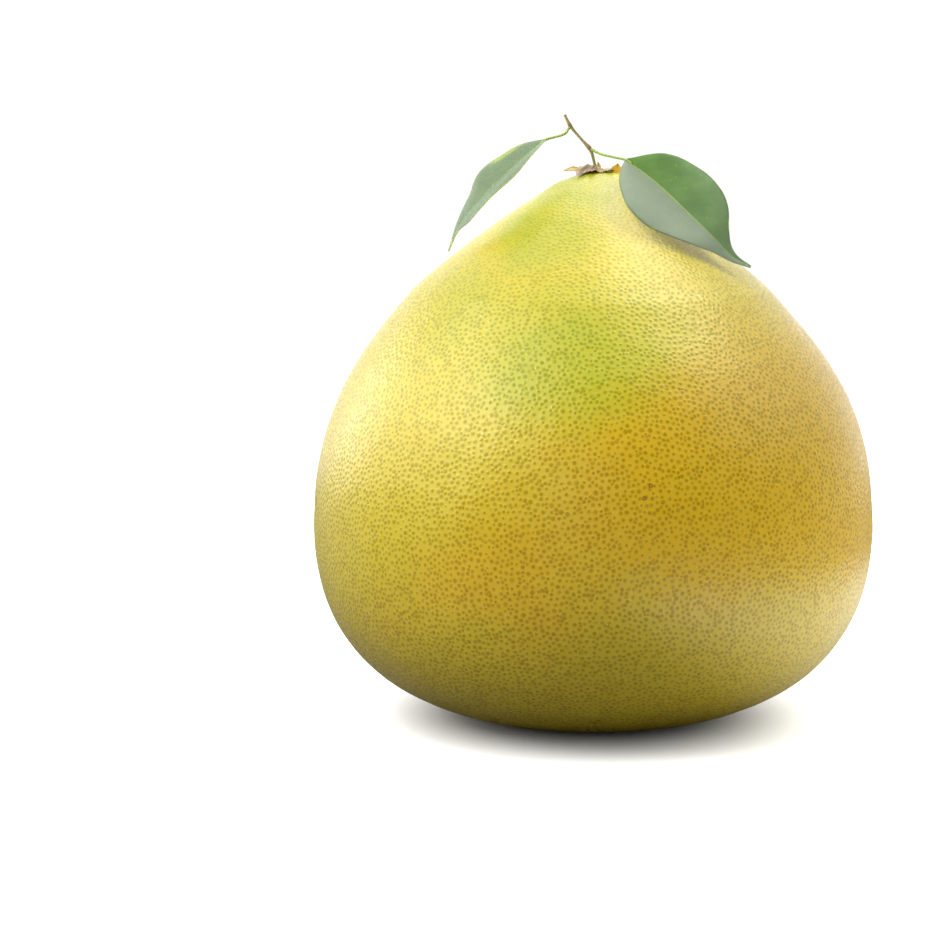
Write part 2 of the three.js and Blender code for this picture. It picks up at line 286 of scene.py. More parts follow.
class CalyxSettings(bpy.types.PropertyGroup):
    thickness: length_setting("Thickness", "Thickness of the dried lobes", 0.3 * MM)
    crinkle: length_setting("Crinkle", "Depth of the dried lobes' creases", 0.28 * MM)
    grey: colour_setting("Grey", "Weathered membrane", srgb(160, 140, 104))
    lip: colour_setting("Lip", "Curled edge of the weathered membrane", srgb(214, 178, 156))
    straw: colour_setting("Straw", "Pale dry lobes", srgb(232, 208, 142))
    amber: colour_setting("Amber", "Golden dry lobes", srgb(226, 178, 30))
    # Painted shade on the lobes' undersides and round the twig's foot; it also darkens the dry fibres.
    shade: colour_setting("Shade", "Creases and undersides", srgb(82, 56, 34))


class TwigSettings(bpy.types.PropertyGroup):
    bark_relief: length_setting("Bark Relief", "Depth of the bark's ridges", 0.02 * MM)
    bark: colour_setting("Bark", "Woody bark", srgb(204, 172, 130))
    # Also paints shade on the twig's right side, beside the younger green bark.
    sap_and_shade: colour_setting("Sap", "Younger green bark", srgb(140, 146, 62))
    scar: colour_setting("Scar", "Dry nodes and the broken end", srgb(140, 110, 78))
    stalk: colour_setting("Stalk", "Leaf stalks", srgb(176, 204, 92))
    stalk_shade: colour_setting("Stalk Shade", "Darker streaks on the stalks", srgb(142, 172, 62))


class LeafSettings(bpy.types.PropertyGroup):
    thickness: length_setting("Thickness", "Thickness of a leaf blade", 0.34 * MM)
    vein_count: IntProperty(name="Veins", description="Side veins on each half", default=12, min=1)
    vein_relief: length_setting("Vein Relief", "How far it swells between side veins", 0.018 * MM)
    midrib_width: length_setting("Midrib Width", "Width where the stalk joins", 0.7 * MM)
    midrib_relief: length_setting("Midrib Relief", "How far it stands out below", 0.28 * MM)
    green: colour_setting("Green", "Upper face of a blade", srgb(112, 152, 74))
    deep: colour_setting("Deep Green", "Darker mottling of the upper face", srgb(90, 132, 58))
    # Greyish waxy film, partly real and partly painted sheen that pales parts of the blades where they
    # catch light.
    bloom_and_sheen: colour_setting("Bloom", "Waxy film that dulls parts of the blades", srgb(158, 163, 150))
    pale: colour_setting("Pale Green", "Lower face of a blade", srgb(142, 168, 112))
    vein: colour_setting("Vein", "Midrib and side veins", srgb(172, 196, 104))
    yellow: colour_setting("Yellowing", "Yellowed spots and tips", srgb(172, 194, 74))


class StageSettings(bpy.types.PropertyGroup):
    floor: colour_setting("Floor", "Studio floor as it is seen", srgb(244, 244, 242))
    bounce: colour_setting("Bounce", "Studio floor as it lights the fruit", srgb(118, 118, 116))
    thrown: FloatProperty(name="Thrown", description="Light off the floor", default=1.35, min=0)
    surround: FloatProperty(name="Surround", description="Light from behind", default=1.5, min=0)
    lamp_power: FloatProperty(
        name="Lamps", description="Power of a full lamp", default=10, min=0, unit="POWER"
    )


# ---------------------------------------------------------------- node helpers

NOISE_RANGE = (0.3, 0.7)  # the values that most of a noise pattern lies between
BROAD_RANGE = (0.25, 0.75)
GEOMETRY_SOCKET = ("Geometry", "NodeSocketGeometry", None)


def add_node(tree, kind, inputs=None, **settings):
    """Adds a node. Each input is a number, a colour or another node's output."""
    node = tree.nodes.new(kind)
    for name, value in settings.items():
        setattr(node, name, value)
    for key, value in (inputs or {}).items():
        if isinstance(value, bpy.types.NodeSocket):
            tree.links.new(value, node.inputs[key])
        else:
            node.inputs[key].default_value = value
    return node


def feed(tree, node, values):
    """Links other nodes' outputs to a node's inputs, given by name."""
    for name, value in values.items():
        tree.links.new(value, node.inputs[name])


def reckon(tree, operation, *values):
    """The output of a Math node over one to three numbers."""
    node = add_node(tree, "ShaderNodeMath", dict(enumerate(values)), operation=operation)
    return node.outputs[0]


def times(tree, first, second):
    return reckon(tree, "MULTIPLY", first, second)


def vector_maths(tree, operation, *values, output=0):
    """The output of a Vector Math node."""
    node = add_node(tree, "ShaderNodeVectorMath", dict(enumerate(values)), operation=operation)
    return node.outputs[output]


def length_of(tree, vector):
    return vector_maths(tree, "LENGTH", vector, output="Value")


def parts_of(tree, vector):
    """A vector's X, Y and Z, by name."""
    return add_node(tree, "ShaderNodeSeparateXYZ", {0: vector}).outputs


def ramp(tree, value, start, end, low=0.0, high=1.0, kind="SMOOTHSTEP"):
    """A value's way from start to end, as a number from low to high."""
    inputs = {"Value": value, "From Min": start, "From Max": end, "To Min": low, "To Max": high}
    return add_node(tree, "ShaderNodeMapRange", inputs, interpolation_type=kind).outputs["Result"]


def varied(tree, pattern, low, high, kind="LINEAR"):
    """A number that goes from low to high as a noise pattern does."""
    return ramp(tree, pattern, *NOISE_RANGE, low, high, kind)


def blend_colours(tree, share, first, second, mode="MIX"):
    inputs = {0: share, 6: first, 7: second}
    return add_node(tree, "ShaderNodeMix", inputs, data_type="RGBA", blend_type=mode).outputs[2]


def layered(tree, colour, *layers):
    """A colour with others laid over it in turn, each after how much of it shows."""
    for share, over in layers:
        colour = blend_colours(tree, share, colour, over)
    return colour


def noise(tree, place, scale, detail=2.0, roughness=0.5, distortion=0.0, seed=0.0):
    inputs = {
        "Vector": place, "W": seed, "Scale": scale, "Detail": detail,
        "Roughness": roughness, "Distortion": distortion,
    }
    return add_node(tree, "ShaderNodeTexNoise", inputs, noise_dimensions="4D").outputs["Fac"]


def bumped(tree, height, strength, distance):
    """The surface's normal, roughened by a pattern."""
    inputs = {"Strength": strength, "Distance": distance, "Height": height}
    return add_node(tree, "ShaderNodeBump", inputs).outputs[0]


def attribute(tree, name, output="Fac"):
    return add_node(tree, "ShaderNodeAttribute", attribute_name=name).outputs[output]


def object_place(tree):
    return add_node(tree, "ShaderNodeTexCoord").outputs["Object"]


def node_group(name, kind, inputs, outputs):
    """An empty node group with its sockets, given as (name, socket type, default) each."""
    tree = bpy.data.node_groups.new(name, kind)
    for direction, sockets in (("INPUT", inputs), ("OUTPUT", outputs)):
        for label, socket_type, default in sockets:
            socket = tree.interface.new_socket(label, in_out=direction, socket_type=socket_type)
            if default is not None:
                socket.default_value = default
    start = tree.nodes.new("NodeGroupInput")
    end = tree.nodes.new("NodeGroupOutput")
    return tree, start.outputs, end


def mask_group(name, *labels):
    """An empty shader group that puts out one number for each label."""
    outputs = [(label, "NodeSocketFloat", None) for label in labels]
    tree, _, end = node_group(name, "ShaderNodeTree", [], outputs)
    return tree, end


def geometry_tree(name, numbers):
    """An empty geometry tree with a material input and an input for each named number."""
    inputs = [GEOMETRY_SOCKET, ("Finish", "NodeSocketMaterial", None)]
    for label, value in numbers.items():
        kind = "NodeSocketInt" if isinstance(value, int) else "NodeSocketFloat"
        inputs.append((label, kind, value))
    return node_group(name, "GeometryNodeTree", inputs, [GEOMETRY_SOCKET])


def named_number(tree, name):
    """A number that each of a geometry's points carries."""
    node = add_node(tree, "GeometryNodeInputNamedAttribute", {"Name": name}, data_type="FLOAT")
    return node.outputs["Attribute"]


def pushed_out(tree, geometry, distance):
    """A geometry with each point moved out along its normal."""
    normal = add_node(tree, "GeometryNodeInputNormal").outputs[0]
    inputs = {0: normal, "Scale": distance}
    offset = add_node(tree, "ShaderNodeVectorMath", inputs, operation="SCALE").outputs[0]
    inputs = {"Geometry": geometry, "Offset": offset}
    return add_node(tree, "GeometryNodeSetPosition", inputs).outputs[0]


def finish_tree(tree, geometry, finish, end):
    """Closes a geometry tree: plain geometry, smooth shading and one material."""
    plain = add_node(tree, "GeometryNodeRealizeInstances", {"Geometry": geometry}).outputs[0]
    smooth = add_node(tree, "GeometryNodeSetShadeSmooth", {"Geometry": plain}).outputs[0]
    inputs = {"Geometry": smooth, "Material": finish}
    feed(tree, end, {0: add_node(tree, "GeometryNodeSetMaterial", inputs).outputs[0]})


def new_material(name):
    """A new material, its node tree and its shader."""
    material = bpy.data.materials.new(name)
    material.use_nodes = True
    tree = material.node_tree
    return material, tree, tree.nodes["Principled BSDF"]


def use_group(tree, group):
    """The outputs of a node group placed in a material."""
    node = tree.nodes.new("ShaderNodeGroup")
    node.node_tree = group
    return node.outputs


# ---------------------------------------------------------------- mesh helpers

SPAN_SAMPLES = 64  # points on each span of a smooth curve, before they are spaced evenly
STATION_SAMPLES = 600
LEAST_GAP = 1e-9


def mesh_object(name, vertices, faces=(), edges=()):
    mesh = bpy.data.meshes.new(name)
    faces = faces.tolist() if isinstance(faces, np.ndarray) else faces
    mesh.from_pydata(np.asarray(vertices).tolist(), edges, faces)
    mesh.update()
    piece = bpy.data.objects.new(name, mesh)
    bpy.context.scene.collection.objects.link(piece)
    return piece


def store(piece, name, kind, domain, values):
    """Writes one attribute of a mesh."""
    layer = piece.data.attributes.new(name, kind, domain)
    key = "vector" if kind == "FLOAT_VECTOR" else "value"
    layer.data.foreach_set(key, np.asarray(values, np.float32).ravel())


def grow(piece, tree, inputs):
    """Runs a geometry tree on a piece, with its inputs given by name, and keeps the plain mesh."""
    modifier = piece.modifiers.new(tree.name, "NODES")
    modifier.node_group = tree
    for socket in tree.interface.items_tree:
        if socket.in_out == "INPUT" and socket.name in inputs:
            modifier[socket.identifier] = inputs[socket.name]
    depsgraph = bpy.context.evaluated_depsgraph_get()
    mesh = bpy.data.meshes.new_from_object(piece.evaluated_get(depsgraph), depsgraph=depsgraph)
    piece.modifiers.remove(modifier)
    piece.data = mesh
    mesh.name = piece.name
    return piece


def paint(piece, finish):
    piece.data.materials.append(finish)
    piece.data.shade_smooth()


def dress(piece, slot, *nodes):
    """Puts a finished piece on its body, in place of its solids."""
    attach(piece, BODY)
    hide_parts(*nodes)


def smoothstep(value, start, end):
    share = np.clip((value - start) / (end - start), 0, 1)
    return share * share * (3 - 2 * share)


def unit(vectors):
    return vectors / np.linalg.norm(vectors, axis=1, keepdims=True)


def step_lengths(line):
    return np.linalg.norm(np.diff(line, axis=0), axis=1)


def running_total(steps):
    """The sum of the steps up to each point of a line."""
    return np.concatenate([[0], np.cumsum(steps)])


def spline(points, count):
    """Evenly spaced points on a smooth curve through the given ones."""
    points = np.asarray(points, float)
    ends = [2 * points[0] - points[1], *points, 2 * points[-1] - points[-2]]
    spans = [spline_span(*four) for four in zip(ends, ends[1:], ends[2:], ends[3:])]
    dense = np.vstack([*spans, points[-1:]])
    travelled = running_total(step_lengths(dense))
    places = np.linspace(0, travelled[-1], count)
    return np.stack([np.interp(places, travelled, axis) for axis in dense.T], axis=1)


def spline_span(a, b, c, d):
    """The stretch from b to c of a centripetal curve."""
    gaps = [max(math.sqrt(np.linalg.norm(q - p)), LEAST_GAP) for p, q in ((a, b), (b, c), (c, d))]
    start = ((b - a) / gaps[0] - (c - a) / (gaps[0] + gaps[1]) + (c - b) / gaps[1]) * gaps[1]
    end = ((c - b) / gaps[1] - (d - b) / (gaps[1] + gaps[2]) + (d - c) / gaps[2]) * gaps[1]
    t = np.linspace(0, 1, SPAN_SAMPLES, endpoint=False)[:, None]
    cubic = 2 * b - 2 * c + start + end
    square = -3 * b + 3 * c - 2 * start - end
    return b + start * t + square * t**2 + cubic * t**3


def stations(pairs, places):
    """Smooth values between (place, value) stations."""
    line = spline(pairs, STATION_SAMPLES)
    return np.interp(places, line[:, 0], line[:, 1])


def quads(index):
    """Four-cornered faces between the neighbours of a grid of points."""
    corners = [index[:-1, :-1], index[1:, :-1], index[1:, 1:], index[:-1, 1:]]
    return np.stack(corners, axis=-1).reshape(-1, 4)


def stacked(*layers):
    """The points of a thin sheet's layers, given in millimetres, in one list."""
    return np.concatenate([layer.reshape(-1, 3) for layer in layers]) * MM


# ---------------------------------------------------------------- rind: form


def bezier(start, first, second, end):
    t = np.linspace(0, 1, LINE_SAMPLES)[:, None]
    start, first, second, end = (np.array(point) for point in (start, first, second, end))
    return start * (1 - t) ** 3 + first * 3 * t * (1 - t) ** 2 + second * 3 * t**2 * (1 - t) + end * t**3


def fruit_line():
    """Radius and height down the fruit's side, from the middle of the crown to that of the foot."""
    downhill = np.array([math.cos(SHOULDER_SLOPE), -math.sin(SHOULDER_SLOPE)])
    shoulder = np.array([SHOULDER_RADIUS, SHOULDER_HEIGHT])
    belly = (BELLY_RADIUS, BELLY_HEIGHT)
    crown = bezier(
        (0, FRUIT_HEIGHT), (CROWN_REACH, FRUIT_HEIGHT),
        shoulder - downhill * SHOULDER_REACH_UP, shoulder,
    )
    side = bezier(
        shoulder, shoulder + downhill * SHOULDER_REACH_DOWN,
        (BELLY_RADIUS, BELLY_HEIGHT + BELLY_REACH_UP), belly,
    )
    base = bezier(
        belly, (BELLY_RADIUS, BELLY_HEIGHT - BELLY_REACH_DOWN),
        (REST_RADIUS + REST_REACH, 0), (REST_RADIUS, 0),
    )
    foot = np.linspace((REST_RADIUS, 0), (0, 0), LINE_SAMPLES // 4)
    return np.vstack([crown, side[1:], base[1:], foot[1:]])


def on_fruit(radius, height, angle):
    """Points of the fruit's surface, with its soft lobes, its lean and its tilted crown."""
    lobe = LOBE_DEPTH * np.sin(np.pi * height / FRUIT_HEIGHT) ** 2
    swell = 1 + lobe * np.sin(-LOBE_COUNT * angle) / BELLY_RADIUS
    leaning = smoothstep(height, LEAN_START, SHOULDER_HEIGHT)
    leaning = leaning - smoothstep(height, SHOULDER_HEIGHT, FRUIT_HEIGHT)
    on_crown = np.where(height > SHOULDER_HEIGHT, 1 - smoothstep(radius, 0, TILT_EDGE), 0)
    x = radius * np.cos(angle)
    y = radius * np.sin(angle)
    raised = height + CROWN_TILT * x * on_crown
    raised = raised + np.where(height > SHOULDER_HEIGHT, knob_lift(x / MM, y / MM), 0) * MM
    return np.stack([x * swell - SHOULDER_LEAN * leaning, y * swell, raised], axis=-1)


def knob_lift(x, y):
    """How far the soft knobs lift the crown at a place on it, in millimetres."""
    return sum(rise * np.exp(-((x - across) ** 2 + y**2) / reach**2) for across, rise, reach in KNOBS)


class FruitSide:
    """The fruit's side line with what the glands need to know along it."""

    def __init__(self, settings):
        line = fruit_line()
        self.radius, self.height = line.T
        self.steps = step_lengths(line)
        self.travelled = running_total(self.steps)
        closer = settings.crown_spacing - settings.gland_spacing
        self.spacing = settings.gland_spacing + closer * smoothstep(self.height, *CROWN_ZONE)
        girth = 2 * math.pi * self.radius
        self.area = self.sum_along(girth)
        self.count = self.sum_along(girth / (CELL_SHARE * self.spacing**2))
        turning = self.sum_along(1 / np.maximum(self.radius, LEAST_RADIUS))
        self.belly = float(np.interp(BELLY_HEIGHT, self.height[::-1], self.travelled[::-1]))
        self.turning = turning - self.at(self.belly, turning)

    def at(self, place, values):
        return np.interp(place, self.travelled, values)

    def sum_along(self, values):
        """The integral of values along the line, up to each of its points."""
        return running_total((values[1:] + values[:-1]) / 2 * self.steps)


def gland_places(side, seed):
    """Place down the side and turn of every gland, evenly spread and then shaken."""
    rng = np.random.default_rng(seed)
    order = np.arange(0.5, side.count[-1])
    place = np.interp(order, side.count, side.travelled)
    spacing = side.at(place, side.spacing)
    radius = np.maximum(side.at(place, side.radius), CROWN_HOLD)
    shake = rng.uniform(-GLAND_SHAKE, GLAND_SHAKE, (2, len(order)))
    turn = order * GOLDEN_TURN + shake[0] * spacing / radius
    place = place + shake[1] * spacing * smoothstep(place, 0, CROWN_HOLD)
    end = side.travelled[-1]
    gap = side.spacing[-1]
    kept = place < end - FOOT_GAP * gap
    ring = np.arange(FOOT_RING) * 2 * math.pi / FOOT_RING
    place = np.concatenate([place[kept], np.full(FOOT_RING, end - gap)])
    return place, np.concatenate([turn[kept], ring])


def triangle_edges(triangles):
    return np.concatenate([triangles[:, [0, 1]], triangles[:, [1, 2]], triangles[:, [2, 0]]])


def gland_triangles(side, place, turn):
    """Triangles between neighbouring glands all over the fruit. The last gland is the foot's middle."""
    outward = np.exp(side.at(place, side.turning))
    flat = np.stack([outward * np.cos(turn), outward * np.sin(turn)], axis=1)
    found = delaunay_2d_cdt([Vector(point) for point in flat.tolist()], [], [], 0, SAME_PLACE)
    if len(found[0]) != len(place):
        raise RuntimeError("two oil glands share one place")
    first = [origin[0] for origin in found[3]]
    triangles = np.array(first)[np.array(found[2])]
    edges = triangle_edges(triangles)
    keys = edges[:, 0] * len(place) + edges[:, 1]
    twins = edges[:, 1] * len(place) + edges[:, 0]
    rim = edges[~np.isin(twins, keys)]
    foot = np.full(len(rim), len(place))
    return np.concatenate([triangles, np.stack([rim[:, 1], rim[:, 0], foot], axis=1)])


def evened(side, place, turn):
    """Glands moved half way to the middle of their neighbours, which evens out the gaps."""
    free = (np.arange(len(place)) < len(place) - FOOT_RING) & (place > EVENED_FROM)
    for _ in range(GLAND_ROUNDS):
        triangles = gland_triangles(side, place, turn)
        triangles = triangles[(triangles < len(place)).all(axis=1)]
        near = triangles.ravel()
        far = np.roll(triangles, -1, axis=1).ravel()
        apart = (turn[far] - turn[near] + np.pi) % (2 * np.pi) - np.pi
        count = np.bincount(near, minlength=len(place))
        turn = turn + free * np.bincount(near, apart, len(place)) / count / 2
        place = place + free * np.bincount(near, place[far] - place[near], len(place)) / count / 2
    return place, turn


def gland_fans(triangles, gland_count):
    """Faces round each gland, from its middle to the middles of the triangles that meet there."""
    edges = triangle_edges(triangles)
    owner = np.tile(np.arange(len(triangles)), 3)
    keys = edges[:, 0] * gland_count + edges[:, 1]
    order = np.argsort(keys)
    twins = edges[:, 1] * gland_count + edges[:, 0]
    other = owner[order[np.searchsorted(keys[order], twins)]]
    return np.stack([edges[:, 0], gland_count + other, gland_count + owner], axis=1)


def gland_offsets(points, faces, sizes):
    """Each face corner's place from its gland's middle, with the gland's edge at length 1."""
    middles = faces[:, 0]
    return (points[faces] - points[middles][:, None, :]) / sizes[middles][:, None, None]


def disc_map(side, points, faces, place):
    """A flat map for each half of the fruit, both with true areas."""
    turn = np.arctan2(points[:, 1], points[:, 0])[faces]
    down = place[faces]
    lower = down.mean(axis=1) > side.belly
    above = side.at(side.belly, side.area)
    half_area = np.where(lower, side.area[-1] - above, above)
    covered = side.at(down, side.area)
    covered = np.where(lower[:, None], side.area[-1] - covered, covered)
    reach = np.sqrt(covered / half_area[:, None])
    discs = np.array(ATLAS_DISCS)[lower.astype(int)]
    flip = np.where(lower, -1, 1)[:, None]
    u = discs[:, 0, None] + discs[:, 2, None] * reach * np.cos(turn) * DISC_FILL
    v = discs[:, 1, None] + discs[:, 2, None] * reach * np.sin(turn) * DISC_FILL * flip
    return np.stack([u, v], axis=-1)


def rind_relief_tree():
    """Raises the glands and dents the rind softly, and leaves the foot flat."""
    numbers = {"Gland Relief": 0.06 * MM, "Unevenness": 0.16 * MM, "Dent Size": 14 * MM, "Seed": 0.0}
    tree, given, end = geometry_tree("Rind Relief", numbers)
    place = add_node(tree, "GeometryNodeInputPosition").outputs[0]
    raised = times(tree, named_number(tree, "gland_lift"), given["Gland Relief"])
    scale = reckon(tree, "DIVIDE", 1.0, given["Dent Size"])
    dents = ramp(tree, noise(tree, place, scale, seed=given["Seed"]), *BROAD_RANGE, -1, 1, "LINEAR")
    total = reckon(tree, "MULTIPLY_ADD", dents, given["Unevenness"], raised)
    total = times(tree, total, ramp(tree, parts_of(tree, place)["Z"], *FOOT_FADE))
    finish_tree(tree, pushed_out(tree, given["Geometry"], total), given["Finish"], end)
    return tree


def carry_glands(rind, settings, points, faces, spacing):
    """Writes what the rind's relief and finish need to know of each gland."""
    count = len(spacing)
    rng = np.random.default_rng(settings.seed + 1)
    uneven = np.clip(rng.normal(1, SIZE_SPREAD, count), *SIZE_RANGE)
    sizes = settings.gland_size / 2 * (spacing / settings.gland_spacing) * uneven
    tones = rng.uniform(0, 1, count)
    lift = np.concatenate([np.ones(count), np.zeros(len(points) - count)])
    store(rind, "gland_lift", "FLOAT", "POINT", lift)
    store(rind, "gland_offset", "FLOAT_VECTOR", "CORNER", gland_offsets(points, faces, sizes))
    store(rind, "gland_tone", "FLOAT", "CORNER", np.repeat(tones[faces[:, 0]], 3))


def make_rind(settings):
    side = FruitSide(settings)
    place, turn = evened(side, *gland_places(side, settings.seed))
    triangles = gland_triangles(side, place, turn)
    radius, height = side.at(place, side.radius), side.at(place, side.height)
    glands = np.vstack([on_fruit(radius, height, turn), [(0, 0, 0)]])
    points = np.vstack([glands, glands[triangles].mean(axis=1)])
    faces = gland_fans(triangles, len(glands))
    place = np.append(place, side.travelled[-1])
    rind = mesh_object("rind", points, faces)
    carry_glands(rind, settings, points, faces, side.at(place, side.spacing))
    atlas = rind.data.uv_layers.new(name="OFBake")
    uvs = disc_map(side, points, faces, np.concatenate([place, place[triangles].mean(axis=1)]))
    atlas.uv.foreach_set("vector", uvs.astype(np.float32).ravel())
    inputs = {
        "Gland Relief": settings.gland_relief,
        "Unevenness": settings.unevenness,
        "Dent Size": settings.dent_size,
        "Seed": float(settings.seed),
        "Finish": rind_material(settings),
    }
    grow(rind, rind_relief_tree(), inputs)
    dress(rind, "rind", "fruit")


# ---------------------------------------------------------------- rind: finish

# A noise pattern is named here by its scale, detail and roughness, an edge by where it starts and is
# full, and a relief by its bump's strength and depth.

GREEN_PATCHES = [  # middle, reach and strength of each unripe patch, in millimetres
    ((-6, -66, 127), (38, 44, 25), 0.85),
    ((-17, -28, 158), (20, 30, 17), 0.9),
    ((-6, -8, 172), (22, 26, 16), 0.9),
    ((-43, -40, 136), (20, 30, 18), 0.6),
    ((50, 52, 112), (28, 34, 26), 0.9),
    ((-58, 48, 84), (24, 30, 26), 0.7),
    ((10, 40, 150), (24, 24, 18), 0.7),
]
PATCH_EDGE = (1.35, 0.2)  # where a patch starts and is full, in its reaches from its middle
PATCH_WARP = (34, 0.03)  # scale and strength of the noise that bends the patches' edges
MARKS = [  # healed marks on the front: place across, height, reach, brownness and paleness inside
    (17.2, 87.6, 0.72, 0.8, 0.9),
    (15.3, 83.9, 0.72, 0.8, 0.8),
    (19.8, 92.3, 0.65, 0.5, 0.0),
    (6.6, 154.4, 0.5, 0.3, 0.0),
]
MARK_DEPTH = 50 * MM  # how far a mark reaches behind the front of the belly
MARK_EDGE = (1.1, 0.75)  # where a mark's brown starts and is full, in its reaches
SCAR_EDGE = (0.5, 0.2)  # the same for its pale middle
WANDER = (26, 3, 0.55)  # moves the edges of the broad colours
WANDER_REACH = 20 * MM
RIPE_SLOPE = 1.1  # how far the ripe side's edge moves across for each step down
RIPE_EDGE = (-142 * MM, -88 * MM)  # the edge, measured across less the slope times the height
RIPE_FOOT = (34 * MM, 66 * MM)  # heights over which the gold fades out below
RIPE_FOOT_LEAST = 0.2  # the share of the gold that is left there
RIPE_TOP = (150 * MM, 112 * MM)  # heights over which it fades out above
OCHRE_EDGE = (100 * MM, 30 * MM)  # heights over which the ochre grows in
GREEN_MOTTLE = (60, 4, 0.6)
MOTTLE_SPREAD = (0.25, 0.7, 0.55, 1)  # the mottling's values, and how green they leave a patch
SPOT_EDGE = (1.25, 0.55)  # where a gland's spot starts and is full, in its own half widths
SPOT_RAGGED = 0.3  # how uneven its edge is
SPOT_GRAIN = (1500, 1)  # scale and detail of the noise that makes it so
SPOT_STRENGTH = (0.7, 1.0)  # how strong the palest and the darkest spots are
DOME_EDGE = (1.7, 0.0)
SPOT_FADE = (130 * MM, 165 * MM, 1.0, 0.4)  # heights over which the spots pale, and from what to what
DOME_FADE = (140 * MM, 170 * MM, 1.0, 0.5)  # heights over which the domes sink
LOW_TINT = (125 * MM, 80 * MM)  # heights over which the spots take their lower tint
RIND_FINE = (420, 4, 0.6)
RIND_GLINT = (1, 0.93, 0.25, 1)  # a fine lightening of the skin
GLINT_SHARE = 0.08
RIND_PORES = (1400, 2)
PORE_SHARE = 0.12  # the pores' depth, as a share of the domes' height
RIND_RELIEF = (1.0, 0.1 * MM)
RIND_GLOSS = (160, 3)  # the noise that moves the roughness, which has these ends:
RIND_ROUGHNESS = (0.26, 0.34)
RIND_SHINE = 0.75


def rind_colour_group(settings):
    """The skin's broad colours: gold on the ripe side, ochre low down, unripe green patches."""
    outputs = [("Colour", "NodeSocketColor", None)]
    tree, _, end = node_group("Rind Colour", "ShaderNodeTree", [], outputs)
    place = object_place(tree)
    parts = parts_of(tree, place)
    reach = (-WANDER_REACH, WANDER_REACH)
    wander = ramp(tree, noise(tree, place, *WANDER), *BROAD_RANGE, *reach, "LINEAR")
    uneven_height = reckon(tree, "ADD", parts["Z"], wander)
    slanted = reckon(tree, "MULTIPLY_ADD", parts["Z"], -RIPE_SLOPE, parts["X"])
    ripe = ramp(tree, reckon(tree, "ADD", slanted, wander), *RIPE_EDGE)
    ripe = times(tree, ripe, ramp(tree, uneven_height, *RIPE_FOOT, RIPE_FOOT_LEAST))
    ripe = times(tree, ripe, ramp(tree, parts["Z"], *RIPE_TOP))
    mottle = ramp(tree, noise(tree, place, *GREEN_MOTTLE), *MOTTLE_SPREAD)
    colour = layered(
        tree, settings.skin,
        (ramp(tree, uneven_height, *OCHRE_EDGE), settings.ochre),
        (ripe, settings.gold),
        (times(tree, patches(tree, place), mottle), settings.green),
    )
    feed(tree, end, {"Colour": colour})
    return tree


def patches(tree, place):
    """How green the skin is, from 0 to 1, as the strongest of the patches."""
    scale, pull = PATCH_WARP
    inputs = {"Vector": place, "Scale": scale, "Detail": 2}
    warp = add_node(tree, "ShaderNodeTexNoise", inputs).outputs["Color"]
    warp = vector_maths(tree, "SUBTRACT", warp, (0.5, 0.5, 0.5))
    shifted = vector_maths(tree, "MULTIPLY_ADD", warp, (pull, pull, pull), place)
    strongest = 0.0
    for middle, reach, strength in GREEN_PATCHES:
        away = vector_maths(tree, "SUBTRACT", shifted, [value * MM for value in middle])
        scaled = vector_maths(tree, "DIVIDE", away, [value * MM for value in reach])
        green = ramp(tree, length_of(tree, scaled), *PATCH_EDGE, 0, strength)
        strongest = reckon(tree, "MAXIMUM", strongest, green)
    return strongest


def marks_group():
    """Small healed marks on the front: how much brown and how much pale scar, from 0 to 1."""
    tree, end = mask_group("Rind Marks", "Brown", "Scar")
    place = object_place(tree)
    brown, scar = 0.0, 0.0
    for across, height, reach, strength, ring in MARKS:
        away = vector_maths(tree, "SUBTRACT", place, (across * MM, -BELLY_RADIUS, height * MM))
        closeness = (1 / (reach * MM), 1 / MARK_DEPTH, 1 / (reach * MM))
        distance = length_of(tree, vector_maths(tree, "MULTIPLY", away, closeness))
        brown = reckon(tree, "MAXIMUM", brown, ramp(tree, distance, *MARK_EDGE, 0, strength))
        scar = reckon(tree, "MAXIMUM", scar, ramp(tree, distance, *SCAR_EDGE, 0, ring))
    feed(tree, end, {"Brown": brown, "Scar": scar})
    return tree


def gland_group():
    """The oil glands' spots and domes, from the places that the rind carries."""
    tree, end = mask_group("Oil Glands", "Spot", "Dome", "Tone")
    distance = length_of(tree, attribute(tree, "gland_offset", "Vector"))
    ragged = noise(tree, object_place(tree), *SPOT_GRAIN)
    ragged = reckon(tree, "MULTIPLY_ADD", ragged, SPOT_RAGGED, -SPOT_RAGGED / 2)
    spot = ramp(tree, reckon(tree, "ADD", distance, ragged), *SPOT_EDGE)
    dome = ramp(tree, distance, *DOME_EDGE)
    feed(tree, end, {"Spot": spot, "Dome": dome, "Tone": attribute(tree, "gland_tone")})
    return tree


